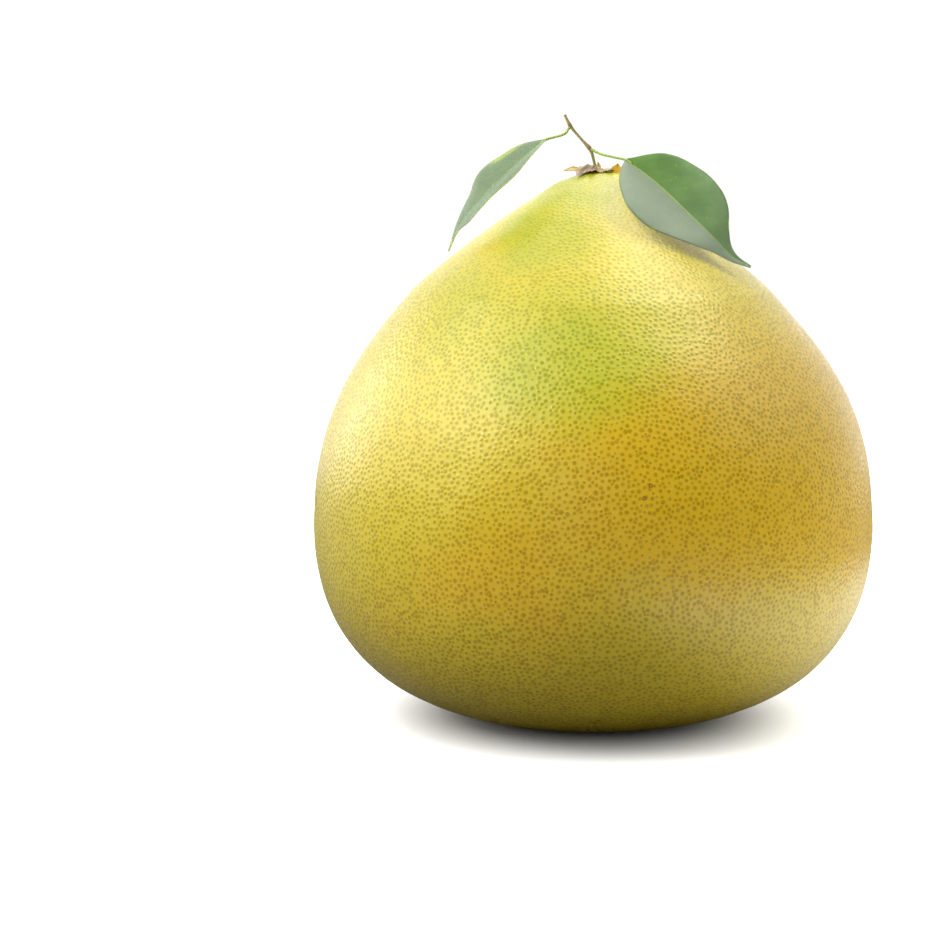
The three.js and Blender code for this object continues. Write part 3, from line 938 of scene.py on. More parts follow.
def rind_material(settings):
    material, tree, shader = new_material("pomelo rind")
    place = object_place(tree)
    height = parts_of(tree, place)["Z"]
    skin = use_group(tree, rind_colour_group(settings))["Colour"]
    glands = use_group(tree, gland_group())
    marks = use_group(tree, marks_group())
    glint = varied(tree, noise(tree, place, *RIND_FINE), 0, GLINT_SHARE)
    lively = blend_colours(tree, glint, skin, RIND_GLINT, "SCREEN")
    tint = blend_colours(tree, ramp(tree, height, *LOW_TINT), settings.gland, settings.gland_low)
    spot_colour = blend_colours(tree, 1.0, skin, tint, "MULTIPLY")
    strength = ramp(tree, glands["Tone"], 0, 1, *SPOT_STRENGTH, "LINEAR")
    strength = times(tree, strength, ramp(tree, height, *SPOT_FADE))
    colour = layered(
        tree, lively,
        (times(tree, glands["Spot"], strength), spot_colour),
        (marks["Brown"], settings.mark),
        (marks["Scar"], settings.scar),
    )
    domes = times(tree, glands["Dome"], ramp(tree, height, *DOME_FADE))
    pores = reckon(tree, "MULTIPLY_ADD", noise(tree, place, *RIND_PORES), PORE_SHARE, domes)
    feed(tree, shader, {
        "Base Color": colour,
        "Roughness": varied(tree, noise(tree, place, *RIND_GLOSS), *RIND_ROUGHNESS),
        "Normal": bumped(tree, pores, *RIND_RELIEF),
    })
    shader.inputs["Specular IOR Level"].default_value = RIND_SHINE
    return material


# ---------------------------------------------------------------- twig and leaf stalks

TWIG_SIDES = 28
BARK_RIDGE_WIDTH = 0.55 * MM
BARK_SEED = 3.0
RIDGE_STRETCH = (1, 1, 0.35)  # draws the ridges out up and down
RIDGES = (3, 0.6, 0.3)  # detail, roughness and distortion of the bark's ridges
BARK_GRAIN = (900, 4, 0.65)
BARK_BLOTCHES = (260, 2)
BARK_RELIEF = (0.4, 0.02 * MM)
BARK_ROUGHNESS = (0.55, 0.8)
BLOTCH_REACH = 0.3  # how far the blotches move the line between grown and young bark
GREEN_AND_SHADE_EDGE = (-0.6, 0.6)  # how far toward the right bark faces where it turns green: partly younger green bark, partly painted shade on the twig's right side
GRAIN_SHOWS = (0.5, 0.75, 0, 0.18)  # where the grain darkens the bark, and how much
DRY_SHARE = 0.5
YOUNG_END = (0.32, 0.22, 0, 0.9)  # where along the twig it turns green at its foot, and how much
BROKEN_END = (0.96, 1.0)  # where along the twig the dry end starts
NODE_REACH = (0.06, 0.01)  # how far round a node the bark is dry
STREAKS = (260, 3, 0.6)
STREAKS_SHOW = (0.35, 0.65, 0, 0.6)
STALK_FOOT = (0.08, 0.02)  # where along a leaf stalk it turns to bark
STALK_ROUGHNESS = (0.38, 0.55)


def stalk_tree():
    """A round rod along a line, with its radius on the line and ridges of bark along it."""
    numbers = {"Sides": 24, "Ridge Depth": 0.05 * MM, "Ridge Width": 0.5 * MM, "Seed": 0.0}
    tree, given, end = geometry_tree("Woody Stalk", numbers)
    line = add_node(tree, "GeometryNodeMeshToCurve", {"Mesh": given["Geometry"]}).outputs[0]
    along = add_node(tree, "GeometryNodeSplineParameter").outputs["Factor"]
    inputs = {"Geometry": line, "Name": "stalk_along", "Value": along}
    kinds = {"data_type": "FLOAT", "domain": "POINT"}
    marked = add_node(tree, "GeometryNodeStoreNamedAttribute", inputs, **kinds).outputs[0]
    inputs = {"Resolution": given["Sides"], "Radius": 1.0}
    ring = add_node(tree, "GeometryNodeCurvePrimitiveCircle", inputs).outputs[0]
    inputs = {
        "Curve": marked, "Profile Curve": ring,
        "Scale": named_number(tree, "stalk_radius"), "Fill Caps": True,
    }
    rod = add_node(tree, "GeometryNodeCurveToMesh", inputs).outputs[0]
    place = add_node(tree, "GeometryNodeInputPosition").outputs[0]
    drawn_out = vector_maths(tree, "MULTIPLY", place, RIDGE_STRETCH)
    scale = reckon(tree, "DIVIDE", 1.0, given["Ridge Width"])
    ridges = varied(tree, noise(tree, drawn_out, scale, *RIDGES, given["Seed"]), -1, 1)
    depth = times(tree, ridges, given["Ridge Depth"])
    finish_tree(tree, pushed_out(tree, rod, depth), given["Finish"], end)
    return tree


def stalk(name, line, radii, steps, inputs):
    """One rod along a line in millimetres, made by the stalk tree."""
    points = spline(line, steps + 1) * MM
    shares = np.linspace(0, 1, steps + 1)
    edges = [(i, i + 1) for i in range(steps)]
    piece = mesh_object(name, points, (), edges)
    store(piece, "stalk_radius", "FLOAT", "POINT", stations(radii, shares) * MM)
    tree = bpy.data.node_groups.get("Woody Stalk") or stalk_tree()
    return grow(piece, tree, inputs)


def make_twig(settings):
    inputs = {
        "Sides": TWIG_SIDES,
        "Ridge Depth": settings.bark_relief,
        "Ridge Width": BARK_RIDGE_WIDTH,
        "Seed": BARK_SEED,
        "Finish": bark_material(settings),
    }
    twig = stalk("twig_bark", TWIG_LINE, TWIG_RADII, TWIG_STEPS, inputs)
    dress(twig, "twig_bark", "twig")


def bark_material(settings):
    material, tree, shader = new_material("twig bark")
    place = object_place(tree)
    along = attribute(tree, "stalk_along")
    grain = noise(tree, place, *BARK_GRAIN)
    facing = add_node(tree, "ShaderNodeNewGeometry").outputs["Normal"]
    # Bark facing right takes the green colour: partly younger bark, partly painted shade on the side away
    # from the light.
    right_side_green_and_shade = ramp(tree, parts_of(tree, facing)["X"], *GREEN_AND_SHADE_EDGE)
    blotches = noise(tree, place, *BARK_BLOTCHES)
    moved = varied(tree, blotches, -BLOTCH_REACH, BLOTCH_REACH, "SMOOTHSTEP")
    young_and_shaded = reckon(tree, "ADD", moved, right_side_green_and_shade)
    young_and_shaded = reckon(tree, "MAXIMUM", young_and_shaded, ramp(tree, along, *YOUNG_END))
    dry = ramp(tree, along, *BROKEN_END)
    for node in (LOWER_NODE, UPPER_NODE):
        away = reckon(tree, "ABSOLUTE", reckon(tree, "SUBTRACT", along, node))
        dry = reckon(tree, "MAXIMUM", dry, ramp(tree, away, *NODE_REACH))
    colour = layered(
        tree, settings.bark,
        (young_and_shaded, settings.sap_and_shade),
        (ramp(tree, grain, *GRAIN_SHOWS), settings.scar),
        (times(tree, dry, DRY_SHARE), settings.scar),
    )
    feed(tree, shader, {
        "Base Color": colour,
        "Roughness": varied(tree, grain, *BARK_ROUGHNESS),
        "Normal": bumped(tree, grain, *BARK_RELIEF),
    })
    return material


def petiole_material(settings):
    material, tree, shader = new_material("leaf stalk")
    streaks = noise(tree, object_place(tree), *STREAKS)
    colour = layered(
        tree, settings.stalk,
        (ramp(tree, streaks, *STREAKS_SHOW), settings.stalk_shade),
        (ramp(tree, attribute(tree, "stalk_along"), *STALK_FOOT), settings.bark),
    )
    roughness = varied(tree, streaks, *STALK_ROUGHNESS)
    feed(tree, shader, {"Base Color": colour, "Roughness": roughness})
    return material


# ---------------------------------------------------------------- leaves

BLADE_STEPS = 150
BLADE_STRIPS = 30  # on each side of the midrib
STRIP_CROWDING = 1.6  # above 1, strips are narrower near the midrib
VEIN_SLANT = 1.9  # how far a side vein runs on while it crosses its half, in vein steps
VEIN_STAGGER = 0.25  # how far the two halves' veins are out of step
VEIN_START = (0.02, 0.25)  # shares of the way out over which the swelling between veins grows
VEIN_END = (0.75, 1)  # and over which it fades
BLADE_SLIMMING = 0.75  # how much thinner the midrib is at the tip
RIB_ABOVE = 0.35  # how deep the midrib's groove above is, as a share of its height below
MARGIN_THINNING = 4  # the power by which a blade thins toward its margin
SWELL_BREADTH = 1.4  # how soon the swelling is full as the blade widens
MIDRIB_EDGE = (1.0, 0.55)  # in the midrib's half widths
SIDE_VEIN_EDGE = (0.42, 0.5)  # in vein steps from the middle between two veins
SIDE_VEIN_FADE = (0.95, 0.5)  # shares of the way out
MARGIN_EDGE = (0.975, 0.995)
MIDRIB_SHARE, SIDE_VEIN_SHARE, MARGIN_SHARE, SPECK_SHARE = 0.85, 0.07, 0.55, 0.5
LEAF_MOTTLE = (90, 4, 0.6)
MOTTLE_EDGE = (0.35, 0.65)
LEAF_FINE = (900, 3, 0.6)
YELLOW_RAGGED = (330, 3, 0.6)
YELLOW_REACH = 0.9  # how far that noise moves the edges of the yellowed spots
YELLOW_EDGE = (0.3, 0.62)
SPECK_SCALE = 620
SPECK_EDGE = (0.22, 0.1)
SPECK_CHOICE = (0.72, 0.9)  # which of the specks show, by their own random numbers
VEIN_GROOVE = -0.25  # the side veins' height, beside that of the fine grain
LEAF_RELIEF = (0.35, 0.04 * MM)
LEAF_ROUGHNESS = (0.34, 0.42)
LEAF_SHINE = 0.3
PETIOLE_SIDES = 20
PETIOLE_RIDGES = (0.005 * MM, 0.6 * MM)  # depth and width


def blade_frames(midrib):
    """The directions across a midrib: side leans up and away leans back."""
    tangent = unit(np.gradient(midrib, axis=0))
    away = unit(np.array([0, 1, 0]) - tangent * tangent[:, 1:2])
    side = np.cross(tangent, away)
    hand = np.where(side[:, 2:3] < 0, -1, 1)
    return (side * hand)[:, None, :], away[:, None, :]


def blade_middle(leaf, along, out, strip_sign):
    """Points of a blade's middle layer, the direction of its upper face and its breadth."""

    def turning(key):
        return np.radians(np.interp(along, (0, 1), leaf[key]))[:, None, None]

    midrib = spline(leaf["midrib"], len(along))
    side, away = blade_frames(midrib)
    roll = turning("roll")
    face = side * np.sin(roll) - away * np.cos(roll)
    signs = strip_sign[None, :, None]
    upper = signs >= 0
    drawn = np.where(upper, roll - turning("fold"), roll + turning("fold"))
    turn = np.where(upper, roll - turning("crease"), roll + turning("crease"))
    breadths = [stations(BLADE_OUTLINE, along**lag)[:, None, None] for lag in leaf["lag"]]
    breadth = np.where(upper, *breadths)
    width = leaf["half_width"] * breadth
    across = (side + away * np.tan(turn)) * np.cos(drawn)
    swing = np.sin(2 * np.pi * leaf["waves"] * along[:, None, None] + signs)
    reach = out[None, :, None]
    rise = leaf["wave_height"] * breadth * swing * reach**2 + leaf["arch"] * width * np.sin(np.pi * reach)
    return midrib[:, None, :] + across * signs * reach * width + face * rise, face, breadth


def vein_swell(settings, along, out, strip_sign):
    """How far the blade stands up between its side veins, in millimetres."""
    slant = VEIN_SLANT * out[None, :]
    phase = along[:, None] * settings.vein_count - slant + VEIN_STAGGER * strip_sign[None, :]
    between = 0.5 - 0.5 * np.cos(2 * np.pi * phase)
    spread = smoothstep(out, *VEIN_START) * (1 - smoothstep(out, *VEIN_END))
    return settings.vein_relief / MM * between * spread[None, :]


def blade_faces(rows, columns):
    """Faces of a thin closed blade. Its two layers share the margin's points."""
    index = np.arange(rows * columns).reshape(rows, columns)
    under = index + rows * columns
    under[:, 0] = index[:, 0]
    under[:, -1] = index[:, -1]
    top = quads(index)
    bottom = quads(under)[:, ::-1]
    ends = [
        [*index[0, ::-1], *under[0, 1:-1]],
        [*index[-1], *under[-1, -2:0:-1]],
    ]
    return [*top.tolist(), *bottom.tolist(), *ends], len(top)


def make_blade(name, settings, finish):
    leaf = LEAVES[name]
    along = np.linspace(0, 1, BLADE_STEPS + 1)
    strips = np.arange(-BLADE_STRIPS, BLADE_STRIPS + 1)
    signs = np.sign(strips).astype(float)
    out = (np.abs(strips) / BLADE_STRIPS) ** STRIP_CROWDING
    middle, face, breadth = blade_middle(leaf, along, out, signs)
    breadth = breadth[..., 0]
    reach = leaf["half_width"] * breadth * out
    slimming = 1 - BLADE_SLIMMING * along[:, None]
    rib_width = settings.midrib_width / MM / 2 * slimming
    rib = settings.midrib_relief / MM * slimming * np.exp(-((reach / rib_width) ** 2))
    half = settings.thickness / MM / 2 * np.sqrt(np.clip(1 - out**MARGIN_THINNING, 0, 1))[None, :]
    swell = vein_swell(settings, along, out, signs) * np.clip(breadth * SWELL_BREADTH, 0, 1)
    top = middle + face * (half + swell - RIB_ABOVE * rib)[..., None]
    bottom = middle - face * (half - swell + rib)[..., None]
    points = stacked(top, bottom)
    faces, top_count = blade_faces(len(along), len(strips))
    if turned_over(points, faces[0], face[0, 0]):
        faces = [list(reversed(corners)) for corners in faces]
    piece = mesh_object(f"{name}_blade", points, faces)
    mark_blade(piece, along, out * signs, top_count)
    # Each half's share of waxy film and painted sheen, from the foot to the tip.
    first, second = (foot + (tip - foot) * along[:, None] for foot, tip in leaf["bloom_and_sheen"])
    point_values = {
        "leaf_yellowing": yellowing(name, along, out * signs),
        "leaf_bloom_and_sheen": np.where(signs >= 0, first, second),
        "midrib_reach": reach / rib_width,
    }
    for label, values in point_values.items():
        store(piece, label, "FLOAT", "POINT", np.tile(values.ravel(), 2))
    tidy_mesh(piece)
    paint(piece, finish)
    return piece


def yellowing(name, along, across):
    """How yellowed each point of a blade is, from 0 to 1."""
    total = np.zeros((len(along), len(across)))
    for place, side, reach, spread in YELLOWED[name]:
        lengthways = ((along[:, None] - place) / reach) ** 2
        sideways = ((across[None, :] - side) / spread) ** 2
        total = np.maximum(total, np.exp(-lengthways - sideways))
    return total


def turned_over(points, corners, outward):
    a, b, c = points[corners[:3]]
    return float(np.dot(np.cross(b - a, c - a), outward)) < 0


def mark_blade(piece, along, across, top_count):
    """Keeps each corner's place on the blade: along it, across it, and 1 on its upper face."""
    count = len(along) * len(across)
    loops = np.empty(len(piece.data.loops), np.int32)
    piece.data.loops.foreach_get("vertex_index", loops)
    spot = loops % count
    upper = np.zeros(len(loops))
    upper[: top_count * 4] = 1
    values = np.stack([along[spot // len(across)], across[spot % len(across)], upper], axis=1)
    store(piece, "leaf_place", "FLOAT_VECTOR", "CORNER", values)


def tidy_mesh(piece):
    """Drops the points that no face uses, and splits the faces with more than four corners."""
    shape = bmesh.new()
    shape.from_mesh(piece.data)
    loose = [point for point in shape.verts if not point.link_faces]
    bmesh.ops.delete(shape, geom=loose, context="VERTS")
    bmesh.ops.triangulate(shape, faces=[face for face in shape.faces if len(face.verts) > 4])
    shape.to_mesh(piece.data)
    shape.free()


def vein_group(settings):
    """Where a blade's midrib, side veins and margin run, and which face is the upper one."""
    tree, end = mask_group("Leaf Veins", "Midrib", "Side Veins", "Margin", "Upper")
    parts = parts_of(tree, attribute(tree, "leaf_place", "Vector"))
    out = reckon(tree, "ABSOLUTE", parts["Y"])
    steps = times(tree, parts["X"], float(settings.vein_count))
    slanted = reckon(tree, "MULTIPLY_ADD", out, -VEIN_SLANT, steps)
    phase = reckon(tree, "MULTIPLY_ADD", reckon(tree, "SIGN", parts["Y"]), VEIN_STAGGER, slanted)
    from_middle = reckon(tree, "SUBTRACT", reckon(tree, "FRACT", phase), 0.5)
    side_vein = ramp(tree, reckon(tree, "ABSOLUTE", from_middle), *SIDE_VEIN_EDGE)
    feed(tree, end, {
        "Midrib": ramp(tree, attribute(tree, "midrib_reach"), *MIDRIB_EDGE),
        "Side Veins": times(tree, side_vein, ramp(tree, out, *SIDE_VEIN_FADE)),
        "Margin": ramp(tree, out, *MARGIN_EDGE),
        "Upper": parts["Z"],
    })
    return tree


def speck_mask(tree, place):
    """Sparse fine specks, the leaf's own oil glands."""
    inputs = {"Vector": place, "Scale": SPECK_SCALE}
    cells = add_node(tree, "ShaderNodeTexVoronoi", inputs, voronoi_dimensions="3D").outputs
    near = ramp(tree, cells["Distance"], *SPECK_EDGE)
    chosen = add_node(tree, "ShaderNodeSeparateColor", {0: cells["Color"]}).outputs[0]
    return times(tree, near, ramp(tree, chosen, *SPECK_CHOICE))


def leaf_material(settings):
    material, tree, shader = new_material("leaf blade")
    place = object_place(tree)
    veins = use_group(tree, vein_group(settings))
    mottle = ramp(tree, noise(tree, place, *LEAF_MOTTLE), *MOTTLE_EDGE)
    fine = noise(tree, place, *LEAF_FINE)
    upper = blend_colours(tree, mottle, settings.green, settings.deep)
    ragged = noise(tree, place, *YELLOW_RAGGED)
    ragged = reckon(tree, "MULTIPLY_ADD", ragged, YELLOW_REACH, -YELLOW_REACH / 2)
    yellowed = reckon(tree, "ADD", attribute(tree, "leaf_yellowing"), ragged)
    colour = layered(
        tree, settings.pale,
        (veins["Upper"], upper),
        # waxy film, partly painted sheen
        (attribute(tree, "leaf_bloom_and_sheen"), settings.bloom_and_sheen),
        (times(tree, veins["Side Veins"], SIDE_VEIN_SHARE), settings.vein),
        (ramp(tree, yellowed, *YELLOW_EDGE), settings.yellow),
        (times(tree, speck_mask(tree, place), SPECK_SHARE), settings.yellow),
        (times(tree, veins["Midrib"], MIDRIB_SHARE), settings.vein),
        (times(tree, veins["Margin"], MARGIN_SHARE), settings.yellow),
    )
    raised = reckon(tree, "MULTIPLY_ADD", veins["Side Veins"], VEIN_GROOVE, fine)
    feed(tree, shader, {
        "Base Color": colour,
        "Roughness": varied(tree, fine, *LEAF_ROUGHNESS),
        "Normal": bumped(tree, raised, *LEAF_RELIEF),
    })
    shader.inputs["Specular IOR Level"].default_value = LEAF_SHINE
    return material


def make_leaves(settings, twig_settings):
    finish = leaf_material(settings)
    stalk_finish = petiole_material(twig_settings)
    ridge_depth, ridge_width = PETIOLE_RIDGES
    for seed, (name, leaf) in enumerate(LEAVES.items()):
        inputs = {
            "Sides": PETIOLE_SIDES,
            "Ridge Depth": ridge_depth,
            "Ridge Width": ridge_width,
            "Seed": float(seed),
            "Finish": stalk_finish,
        }
        rod = stalk(f"{name}_stalk", leaf["petiole"], PETIOLE_RADII, PETIOLE_STEPS, inputs)
        blade = make_blade(name, settings, finish)
        for piece in (rod, blade):
            dress(piece, "leaf", name)
            shine_past(piece, name)


# ---------------------------------------------------------------- calyx

CALYX_SIDES = 360
CALYX_RINGS = 16
RIM_SLIMMING = 0.55  # how much thinner the lobes are at their rims
SEPAL_PLACE = 0.75  # how far out on a lobe a loose sepal's colour is taken from
SEPAL_THICKNESS = 0.35  # half a loose sepal's thickness, as a share of the lobes'
SEPAL_LEAST_WIDTH = 0.06
SEPAL_POINT = 2.2  # above 1, a loose sepal keeps its width longer before it narrows
SEPAL_RAGGED = 0.07  # how uneven its edges are
SEPAL_CUP = 0.28  # how far its edges turn up, as a share of its width
SEPAL_RIPPLE = 0.12
SEPAL_EDGE_TINT = 0.1
LOBE_GAP = 0.05  # what is left between the crown and the lobes
LOBE_LIFT = 0.2  # how far the rims stand off the crown
LOBE_SKEW = 0.8  # below 1, a lobe bows up nearer the twig
LOBE_FREE = (0.05, 0.6)  # shares of the way out over which the creases grow
CALYX_FIBRES = (1300, 4, 0.65, 0.6)
CALYX_BLOTCHES = (420, 3, 0.6)
BLOTCH_TINT = 0.2  # how far the blotches move the tint
OUTER_TINT = (0.2, 0.75, 0.55, 1)  # shares of the way out over which the tint grows, and from what
STRAW_EDGE = (0.1, 0.5)
AMBER_EDGE = (0.6, 0.9)
LIP_PLACE = (0.78, 0.98)  # shares of the way out over which the lip grows
LIP_TINT = (0.5, 0.1)  # tints between which it grows toward the grey lobes
FOOT_SHADE = (0.4, 0.12)  # shares of the way out over which the painted shade round the twig's foot grows
LIP_SHARE, FOOT_SHARE, UNDER_SHARE = 0.8, 0.55, 0.75
FIBRES_SHOW = (0.5, 0.75, 0, 0.35)
CALYX_RELIEF = (0.9, 0.08 * MM)
CALYX_ROUGHNESS = (0.5, 0.8)


def calyx_lobes(angle):
    """The lobes' reach, rise, arch and tint in each direction from the twig."""
    reach = np.full_like(angle, CALYX_COLLAR)
    rise, arch, tint = (np.zeros_like(angle) for _ in range(3))
    for turn, width, length, lift, bow, tone in SEPALS:
        gap = (angle - np.radians(turn) + np.pi) % (2 * np.pi) - np.pi
        strength = np.exp(-((gap / np.radians(width)) ** 2))
        reach = reach + strength * (length - CALYX_COLLAR)
        rise = rise + strength * lift
        arch = arch + strength * bow
        tint = tint + strength * tone
    ragged = 1 + CALYX_RAGGED * (np.sin(11 * angle + 2) + 0.7 * np.sin(23 * angle))
    return reach * ragged, rise, arch, tint


def make_calyx(settings):
    """The dried lobes round the twig's foot, as one thin creased ring, and the loose sepals."""
    angle = np.linspace(0, 2 * np.pi, CALYX_SIDES, endpoint=False)[:, None]
    share = np.linspace(0, 1, CALYX_RINGS + 1)[None, :]
    reach, rise, arch, tint = calyx_lobes(angle)
    radius = CALYX_HOLE + (reach - CALYX_HOLE) * share
    x = TWIG_LINE[0][0] * (1 - share) + radius * np.cos(angle)
    y = radius * np.sin(angle)
    under = lobe_floor(x, share, rise, arch) + crinkles(settings, angle, share)
    thickness = settings.thickness / MM * (1 - RIM_SLIMMING * share)
    points = stacked(np.stack([x, y, under + thickness], -1), np.stack([x, y, under], -1))
    calyx = mesh_object("dried_calyx", points, ring_faces(CALYX_SIDES, CALYX_RINGS + 1))
    marks = np.stack([share + 0 * angle, tint + 0 * share, 0 * x], -1)
    marks = np.stack([marks, marks + (0, 0, 1)])
    store(calyx, "calyx_place", "FLOAT_VECTOR", "POINT", marks)
    finish = calyx_material(settings)
    paint(calyx, finish)
    dress(calyx, "dried_calyx", "calyx")
    for number, sepal in enumerate(LOOSE_SEPALS, 1):
        make_sepal(f"dried_sepal_{number}", settings, finish, *sepal)


def make_sepal(name, settings, finish, foot, middle, tip, half_widths, level, tint):
    """A pointed, cupped sheet that stands off the calyx, closed all round."""
    rows, columns = SEPAL_STEPS
    line = spline((foot, middle, tip), rows + 1)
    along = np.linspace(0, 1, rows + 1)[:, None]
    across = np.linspace(-1, 1, columns + 1)[None, :]
    ahead = unit(np.gradient(line, axis=0))
    side = unit(np.array(level) - ahead * (ahead @ level)[:, None])
    out = np.cross(side, ahead)[:, None]
    near, far = half_widths
    width = (near + (far - near) * along) * (1 - along**SEPAL_POINT) + SEPAL_LEAST_WIDTH
    ragged = 1 + SEPAL_RAGGED * np.sin(9 * along + 3 * across) * np.abs(across)
    cup = SEPAL_CUP * across**2 * width + SEPAL_RIPPLE * np.sin(5 * across + 6 * along)
    sheet = line[:, None] + side[:, None] * (width * ragged * across)[..., None]
    sheet = sheet + out * cup[..., None]
    half = out * settings.thickness / MM * SEPAL_THICKNESS
    points = stacked(sheet + half, sheet - half)
    sepal = mesh_object(name, points, sheet_faces(rows + 1, columns + 1))
    tints = tint + SEPAL_EDGE_TINT * across**2 + 0 * cup
    marks = np.stack([SEPAL_PLACE + 0 * cup, tints, 0 * cup], -1)
    store(sepal, "calyx_place", "FLOAT_VECTOR", "POINT", np.stack([marks, marks]))
    paint(sepal, finish)
    dress(sepal, "dried_calyx", "calyx")


def sheet_faces(rows, columns):
    """Both faces and the rim of a thin sheet whose lower layer follows the upper one."""
    index = np.arange(rows * columns).reshape(rows, columns)
    upper = quads(index)[:, ::-1]
    lower = quads(index + rows * columns)
    rim = np.concatenate([index[0], index[1:, -1], index[-1, -2::-1], index[-2:0:-1, 0]])
    after = np.roll(rim, -1)
    drop = rows * columns
    edge = np.stack([rim, rim + drop, after + drop, after], -1)
    return np.concatenate([upper, lower, edge])


def ring_faces(sides, rings):
    """Both faces and the two rims of a thin ring whose lower layer follows the upper one."""
    index = np.arange(sides * rings).reshape(sides, rings)
    top = np.vstack([index, index[:1]])
    bottom = top + sides * rings
    upper = quads(top)[:, ::-1]
    lower = quads(bottom)
    outer = np.stack([top[:-1, -1], top[1:, -1], bottom[1:, -1], bottom[:-1, -1]], -1)[:, ::-1]
    inner = np.stack([top[:-1, 0], top[1:, 0], bottom[1:, 0], bottom[:-1, 0]], -1)
    return np.concatenate([upper, lower, outer, inner])


def lobe_floor(x, share, rise, arch):
    """Height of the lobes' lower face: they leave the crown, bow up and then curl."""
    crown = FRUIT_HEIGHT / MM + LOBE_GAP + CROWN_TILT * x
    bow = arch * np.sin(np.pi * share**LOBE_SKEW)
    return crown + LOBE_LIFT * share + rise * share**CALYX_CURL + bow


def crinkles(settings, angle, share):
    """Uneven creases that fan out along the lobes, in millimetres."""
    fan = np.sin(angle * 17 + 2.6 * np.sin(share * 5 + angle * 2)) * 0.5
    fan = fan + np.sin(angle * 29 - share * 7 + 1.5 * np.sin(angle * 5)) * 0.3
    fan = fan + np.sin(share * 17 + 3 * np.sin(angle * 4)) * 0.2
    return fan * settings.crinkle / MM * smoothstep(share, *LOBE_FREE)


def calyx_material(settings):
    material, tree, shader = new_material("dried calyx")
    place = object_place(tree)
    parts = parts_of(tree, attribute(tree, "calyx_place", "Vector"))
    outward, tint, underside = parts["X"], parts["Y"], parts["Z"]
    fibres = noise(tree, place, *CALYX_FIBRES)
    blotches = varied(tree, noise(tree, place, *CALYX_BLOTCHES), -BLOTCH_TINT, BLOTCH_TINT)
    outer = times(tree, tint, ramp(tree, outward, *OUTER_TINT))
    shifted = reckon(tree, "ADD", outer, blotches)
    lip = times(tree, ramp(tree, outward, *LIP_PLACE), ramp(tree, tint, *LIP_TINT))
    colour = layered(
        tree, settings.grey,
        (ramp(tree, shifted, *STRAW_EDGE), settings.straw),
        (ramp(tree, shifted, *AMBER_EDGE), settings.amber),
        (times(tree, lip, LIP_SHARE), settings.lip),
        # painted shade round the twig's foot
        (times(tree, ramp(tree, outward, *FOOT_SHADE), FOOT_SHARE), settings.shade),
        (ramp(tree, fibres, *FIBRES_SHOW), settings.shade),
        # painted shade on the lobes' undersides
        (times(tree, underside, UNDER_SHARE), settings.shade),
    )
    feed(tree, shader, {
        "Base Color": colour,
        "Roughness": varied(tree, fibres, *CALYX_ROUGHNESS),
        "Normal": bumped(tree, fibres, *CALYX_RELIEF),
    })
    return material


# ---------------------------------------------------------------- stage


def soft_box(name, azimuth, elevation, size, power):
    """A square lamp that faces the fruit. Azimuth 0 is the camera's side and 90 the right."""
    turn, lift = math.radians(azimuth), math.radians(elevation)
    outward = (math.sin(turn) * math.cos(lift), -math.cos(turn) * math.cos(lift), math.sin(lift))
    place = Vector(LIT_MIDDLE) + Vector(outward) * LAMP_DISTANCE
    lamp = bpy.data.lights.new(name, "AREA")
    lamp.shape = "SQUARE"
    lamp.size = size
    lamp.energy = power
    item = bpy.data.objects.new(name, lamp)
    bpy.context.scene.collection.objects.link(item)
    item.location = place
    item.rotation_euler = (Vector(LIT_MIDDLE) - place).to_track_quat("-Z", "Y").to_euler()
    return item


def make_camera():
    lens = bpy.data.cameras.new("camera")
    lens.lens = CAMERA_LENS
    lens.sensor_width = SENSOR_WIDTH
    lens.clip_start = NEAREST_SEEN
    camera = bpy.data.objects.new("camera", lens)
    bpy.context.scene.collection.objects.link(camera)
    camera.location = CAMERA_PLACE
    camera.rotation_euler = (math.radians(90 - CAMERA_PITCH), 0, math.radians(CAMERA_YAW))
    bpy.context.scene.camera = camera


def make_floor(settings):
    """A round pale floor that glows white away from the fruit, so it runs into the surround."""
    turns = np.linspace(0, 2 * np.pi, FLOOR_SIDES, endpoint=False)
    rim = np.stack([np.cos(turns), np.sin(turns), 0 * turns], -1) * FLOOR_RADIUS
    floor = mesh_object("studio_floor", rim, [list(range(len(rim)))])
    material, tree, shader = new_material("studio floor")
    place = object_place(tree)
    distance = length_of(tree, place)
    seen = add_node(tree, "ShaderNodeLightPath").outputs["Is Camera Ray"]
    sideways = vector_maths(tree, "DOT_PRODUCT", place, FLOOR_LIT_SIDE, output="Value")
    thrown = ramp(tree, sideways, *FLOOR_LIT_EDGE, 0, settings.thrown / FLOOR_STRENGTH)
    thrown = times(tree, thrown, ramp(tree, distance, *FLOOR_LIT_REACH))
    plain = ramp(tree, distance, *FLOOR_GLOW, 0, 1 / FLOOR_STRENGTH)
    glow = add_node(tree, "ShaderNodeMix", {"Factor": seen, "A": thrown, "B": plain}).outputs[0]
    feed(tree, shader, {
        "Emission Color": blend_colours(tree, glow, BLACK, WHITE),
        "Base Color": blend_colours(tree, seen, settings.bounce, settings.floor),
    })
    shader.inputs["Emission Strength"].default_value = FLOOR_STRENGTH
    shader.inputs["Roughness"].default_value = FLOOR_ROUGHNESS
    floor.data.materials.append(material)


